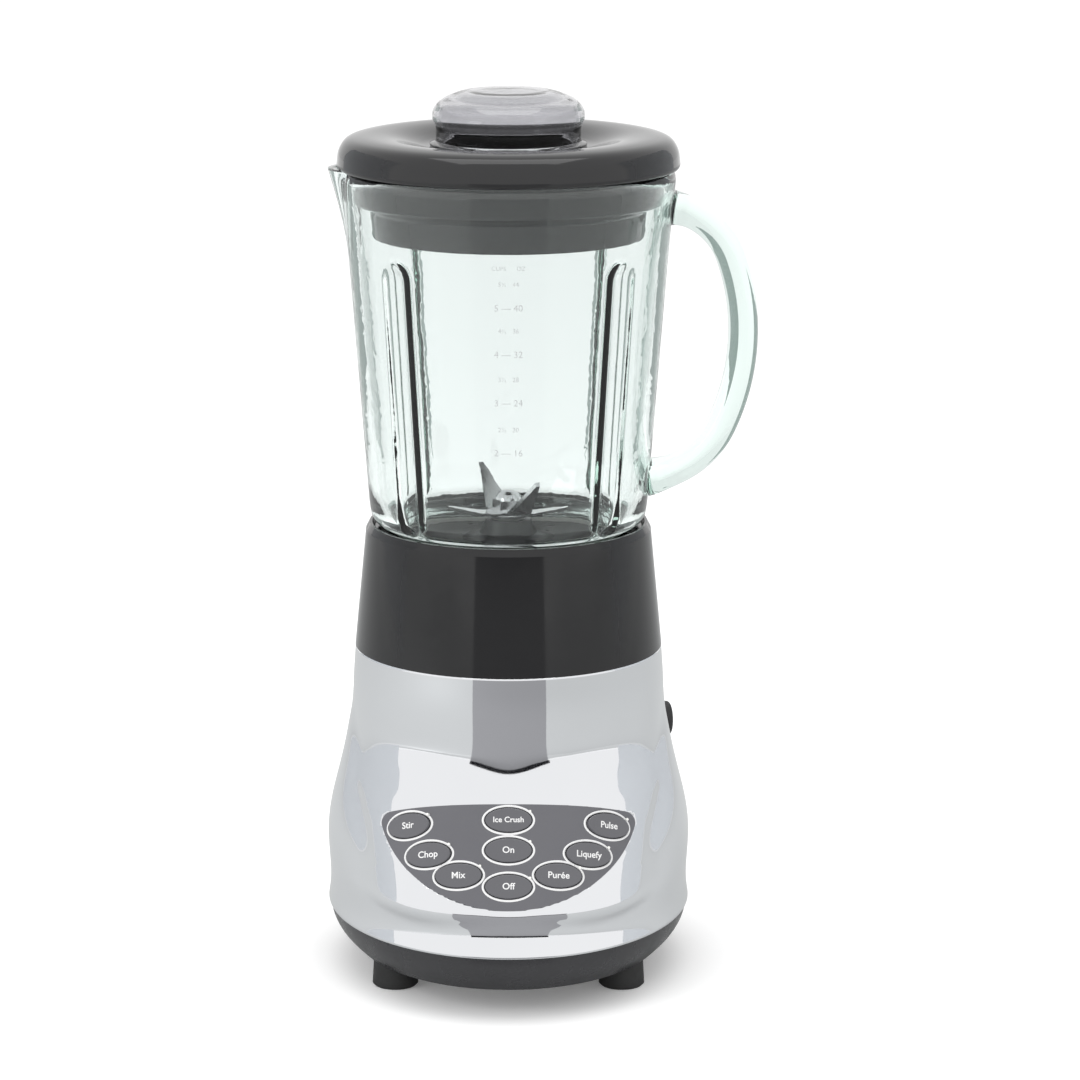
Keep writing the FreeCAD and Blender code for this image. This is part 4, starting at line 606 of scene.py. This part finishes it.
def jar_points(section, inner, turn):
    """Jar surface: the section turned about the axis, then at each flute the wall drawn in
    to a round-ended bar's surface, and at the spout pushed out to a widening cone's."""
    radius, height, inner = section[:, :1] + 0 * turn, section[:, 1:] + 0 * turn, inner[:, None]
    outside = FOOT_RADIUS + (height - FOOT_HEIGHT) * WALL_LEAN
    past_end = np.maximum(np.maximum(FLUTE_LOW - height, height - FLUTE_HIGH), 0.0)
    bar = np.where(inner, FLUTE + JAR_WALL, FLUTE)
    for corner in (45, 135, 225, 315):
        aside = outside * away_from(turn, math.radians(corner))
        pressed = outside + FLUTE - FLUTE_SINK - np.sqrt(np.maximum(bar ** 2 - aside ** 2 - past_end ** 2, 0.0))
        radius = -blended_most(-radius, -pressed, 1.6)
    cone = (SPOUT - np.where(inner, SPOUT_WALL, 0.0)
            + (np.minimum(height, RIM) - RIM) * SPOUT_TAPER / SPOUT_DEPTH)
    aside = SPOUT_REACH * np.sin(away_from(turn, math.pi))
    lip = SPOUT_REACH * np.cos(away_from(turn, math.pi)) + np.sqrt(np.maximum(cone ** 2 - aside ** 2, 0.0))
    in_lip = (height > RIM - SPOUT_DEPTH) & (cone > np.abs(aside)) & (np.cos(away_from(turn, math.pi)) > 0.5)
    radius = blended_most(radius, np.where(in_lip, lip, 0.0), 3.0)
    at_lug = np.abs(away_from(4 * turn, 0.0)) < math.radians(LUG_HALF_TURN)
    at_foot = np.abs(height - JAR_LOW - LUG_MIDDLE) < LUG_HALF_HEIGHT
    radius = np.where(at_lug & at_foot & ~inner, LUG_RADIUS, radius)
    return np.stack([radius * np.cos(turn), radius * np.sin(turn), height], -1)


def handle_points(columns=40):
    """Handle: a flattened oval, |a|^2.6 + |b|^2.6 = 1, carried over three arcs that run on
    from each other: a corner out of the rim, a long bow down and a tighter one back in.
    It swells a little where it joins the wall."""
    point, fall, path = np.array((66.0, 336.5)), 0.0, []
    for radius, degrees, steps in ((32.0, 70, 22), (98.0, 45, 34), (40.0, 50, 18)):
        centre = point - radius * np.array((math.sin(fall), math.cos(fall)))
        ways = fall + np.linspace(0, math.radians(degrees), steps + 1)
        path.append((centre + radius * np.stack([np.sin(ways), np.cos(ways)], -1))[1:])
        point, fall = path[-1][-1], ways[-1]
    heading = np.array((math.cos(fall), -math.sin(fall)))
    path.append(point + np.linspace(1.2, 6.0, 5)[:, None] * heading)
    path = np.concatenate(path)
    way = np.gradient(path, axis=0)
    way /= np.linalg.norm(way, axis=1)[:, None]
    along = np.concatenate([[0.0], np.cumsum(np.linalg.norm(np.diff(path, axis=0), axis=1))])
    swell = 1 + 0.20 * (np.exp(-(along / 7.0) ** 2) + np.exp(-((along[-1] - along) / 7.0) ** 2))
    around = np.linspace(0, 2 * math.pi, columns, endpoint=False)
    flat = np.sign(np.cos(around)) * np.abs(np.cos(around)) ** (2 / 2.6)
    wide = np.sign(np.sin(around)) * np.abs(np.sin(around)) ** (2 / 2.6)
    normal = np.stack([-way[:, 1], way[:, 0]], -1)
    offset = 6.5 * swell[:, None] * flat
    x, z = path[:, :1] + normal[:, :1] * offset, path[:, 1:] + normal[:, 1:] * offset
    y = 9.5 * swell[:, None] * wide
    for end, inside, lean in ((0, 68.2, way[0]), (-1, 59.0, heading)):
        z[end] += (inside - x[end]) * lean[1] / lean[0]
        x[end] = inside
    return np.stack([x, y, z], -1)


jar_section = rounded([
    (54.0, JAR_LOW, 0.8), (54.0, 197.6, 0.6), (57.6, 198.2, 1.4), (59.9, 200.8, 2.2),
    (FOOT_RADIUS, FOOT_HEIGHT, 3.0),
    (BODY_RADIUS, BODY_HEIGHT, 14.0), (72.0, RIM - 8, 3.0), (RIM_RADIUS, RIM - 3, 2.0), (70.8, RIM, 1.2),
    (68.8, RIM, 1.2), (BODY_RADIUS - JAR_WALL, BODY_HEIGHT, 14.0),
    (FOOT_RADIUS - JAR_WALL, FOOT_HEIGHT + 2, 8.0),
    (52.5, 197.0, 7.0), (44.2, 191.4, 1.5), (44.0, JAR_LOW, 0.8)])
jar_section = divided(jar_section, 2.2)
top_row = int(np.argmax(jar_section[:, 1] + 0.001 * jar_section[:, 0]))
inner_rows = np.arange(len(jar_section)) > top_row
jar_turn = np.linspace(0, 2 * math.pi, 384, endpoint=False)
jar_shape = jar_points(jar_section, inner_rows, jar_turn)
bar_shape = handle_points()
bar_count = bar_shape.shape[0] * bar_shape.shape[1]
bar_faces = [list(face) for face in ring_faces(*bar_shape.shape[:2])]
bar_faces += [list(range(bar_shape.shape[1]))[::-1], list(range(bar_count - bar_shape.shape[1], bar_count))]
pressed_glass = glass()
jar = piece("glass_jar_body", jar_shape, ring_faces(len(jar_section), len(jar_turn), closed=True),
            pressed_glass, "jar", "glass", "glass_jar")
bar = piece("handle_bar", bar_shape, bar_faces, pressed_glass, "jar", "glass")


def joined(whole, added):
    """Two closed meshes made one, with the surface between them taken out."""
    union = whole.modifiers.new("join", "BOOLEAN")
    union.operation, union.object, union.solver = "UNION", added, "EXACT"
    bpy.context.view_layer.update()
    mesh = bpy.data.meshes.new_from_object(whole.evaluated_get(bpy.context.evaluated_depsgraph_get()))
    whole.modifiers.clear()
    whole.data = mesh
    bpy.data.objects.remove(added)


joined(jar, bar)

# ---------------------------------------------------------------- measuring marks
# Faint fired-on marks on the front of the jar: cups on the left, ounces on the right,
# a level line between them.
INK_GAP = 0.06
MARK_HEIGHTS = {2: 240.2, 3: 262.0, 4: 283.0, 5: 303.0}
marks = finish("fired_marks", (0.42, 0.44, 0.44), (0.52, 0.54, 0.54), 0.5, 0.7, cloud=400.0, grain=3000.0)


def on_jar(flat, height):
    """Flat letters wrapped round the front of the jar at a height, just clear of the glass."""
    level = height + flat[:, 1]
    radius = FOOT_RADIUS + (level - FOOT_HEIGHT) * WALL_LEAN + INK_GAP
    angle = -math.pi / 2 + flat[:, 0] / radius
    radius = radius + flat[:, 2]
    return np.stack([radius * np.cos(angle), radius * np.sin(angle), level], -1)


mark_points, mark_faces, mark_count = [], [], 0
levels = [(320.0, "CUPS      OZ", 2.6)]
for cups, level in MARK_HEIGHTS.items():
    levels += [(level, f"{cups} — {8 * cups}", 4.0), (level + 10.2, f"{cups}½   {8 * cups + 4}", 2.8)]
for height, text, size in levels:
    letters, letter_faces = words("mark", text, size, 0.0, lambda flat: on_jar(flat, height))
    mark_points.append(letters)
    mark_faces += [tuple(corner + mark_count for corner in face) for face in letter_faces]
    mark_count += len(letters)
piece("measuring_marks", np.concatenate(mark_points), mark_faces, marks, "jar", "glass")

# ---------------------------------------------------------------- lid
# Gloss dark grey lid: a rolled brim that rests on the rim, a plug and skirt inside the
# jar, and a dished top round the hole for the measuring cap.
lid_gloss = finish("lid_gloss", (0.014, 0.014, 0.0145), (0.020, 0.020, 0.021), 0.05, 0.11, cloud=20.0,
                   grain=500.0, ripple=30.0, relief=0.000008, Specular_IOR_Level=0.45)
lid_section = rounded([
    (31.8, 352.0, 0.6), (34.5, 352.0, 0.6), (34.5, 357.7, 1.0), (52.0, 363.2, 3.0), (64.3, 357.2, 2.0),
    (64.3, 342.0, 1.0), (57.2, 338.0, 1.0), (56.6, 324.5, 0.8), (59.0, 324.5, 0.8), (59.8, 336.6, 1.2),
    (66.9, 340.0, 1.2), (66.9, 353.7, 0.6), (73.4, 353.7, 0.6), (74.2, 355.0, 1.2), (73.6, 361.5, 3.4),
    (70.2, 366.6, 4.4), (62.0, 368.0, 5.0), (50.0, 367.2, 6.0), (37.0, 363.0, 2.0), (31.8, 362.4, 0.8)])
points, faces = lathed(lid_section)
piece("lid_shell", points, faces, lid_gloss, "lid", "lid", "jar_lid")

# ---------------------------------------------------------------- measuring cap
# Clear, slightly smoky moulded cup that closes the lid's hole upside down: a domed top,
# a bead that rests on the lid and an open skirt.
clear_plastic = finish("clear_plastic", (0.62, 0.62, 0.64), (0.70, 0.70, 0.72), 0.01, 0.04, cloud=25.0,
                       grain=200.0, ripple=20.0, relief=0.00003, IOR=1.49, Transmission_Weight=1.0)
cap_section = rounded([
    (0.01, 385.3, 0.0), (19.0, 384.3, 3.0), (28.6, 380.4, 3.0), (30.8, 375.7, 1.5), (28.9, 370.7, 1.5),
    (26.9, 344.9, 0.5),
    (29.3, 344.7, 0.5), (31.3, 354.7, 1.0), (31.3, 362.7, 0.3), (33.9, 362.7, 0.5), (33.9, 364.3, 0.5),
    (31.3, 365.1, 0.5), (31.3, 371.1, 1.0), (33.2, 375.4, 2.4), (32.4, 379.6, 2.4), (28.5, 383.4, 3.0),
    (20.0, 386.7, 5.0), (0.01, 387.7, 0.0)])
points, faces = lathed(cap_section)
piece("cap_shell", points, faces, clear_plastic, "cap", "cap", "measuring_cap")
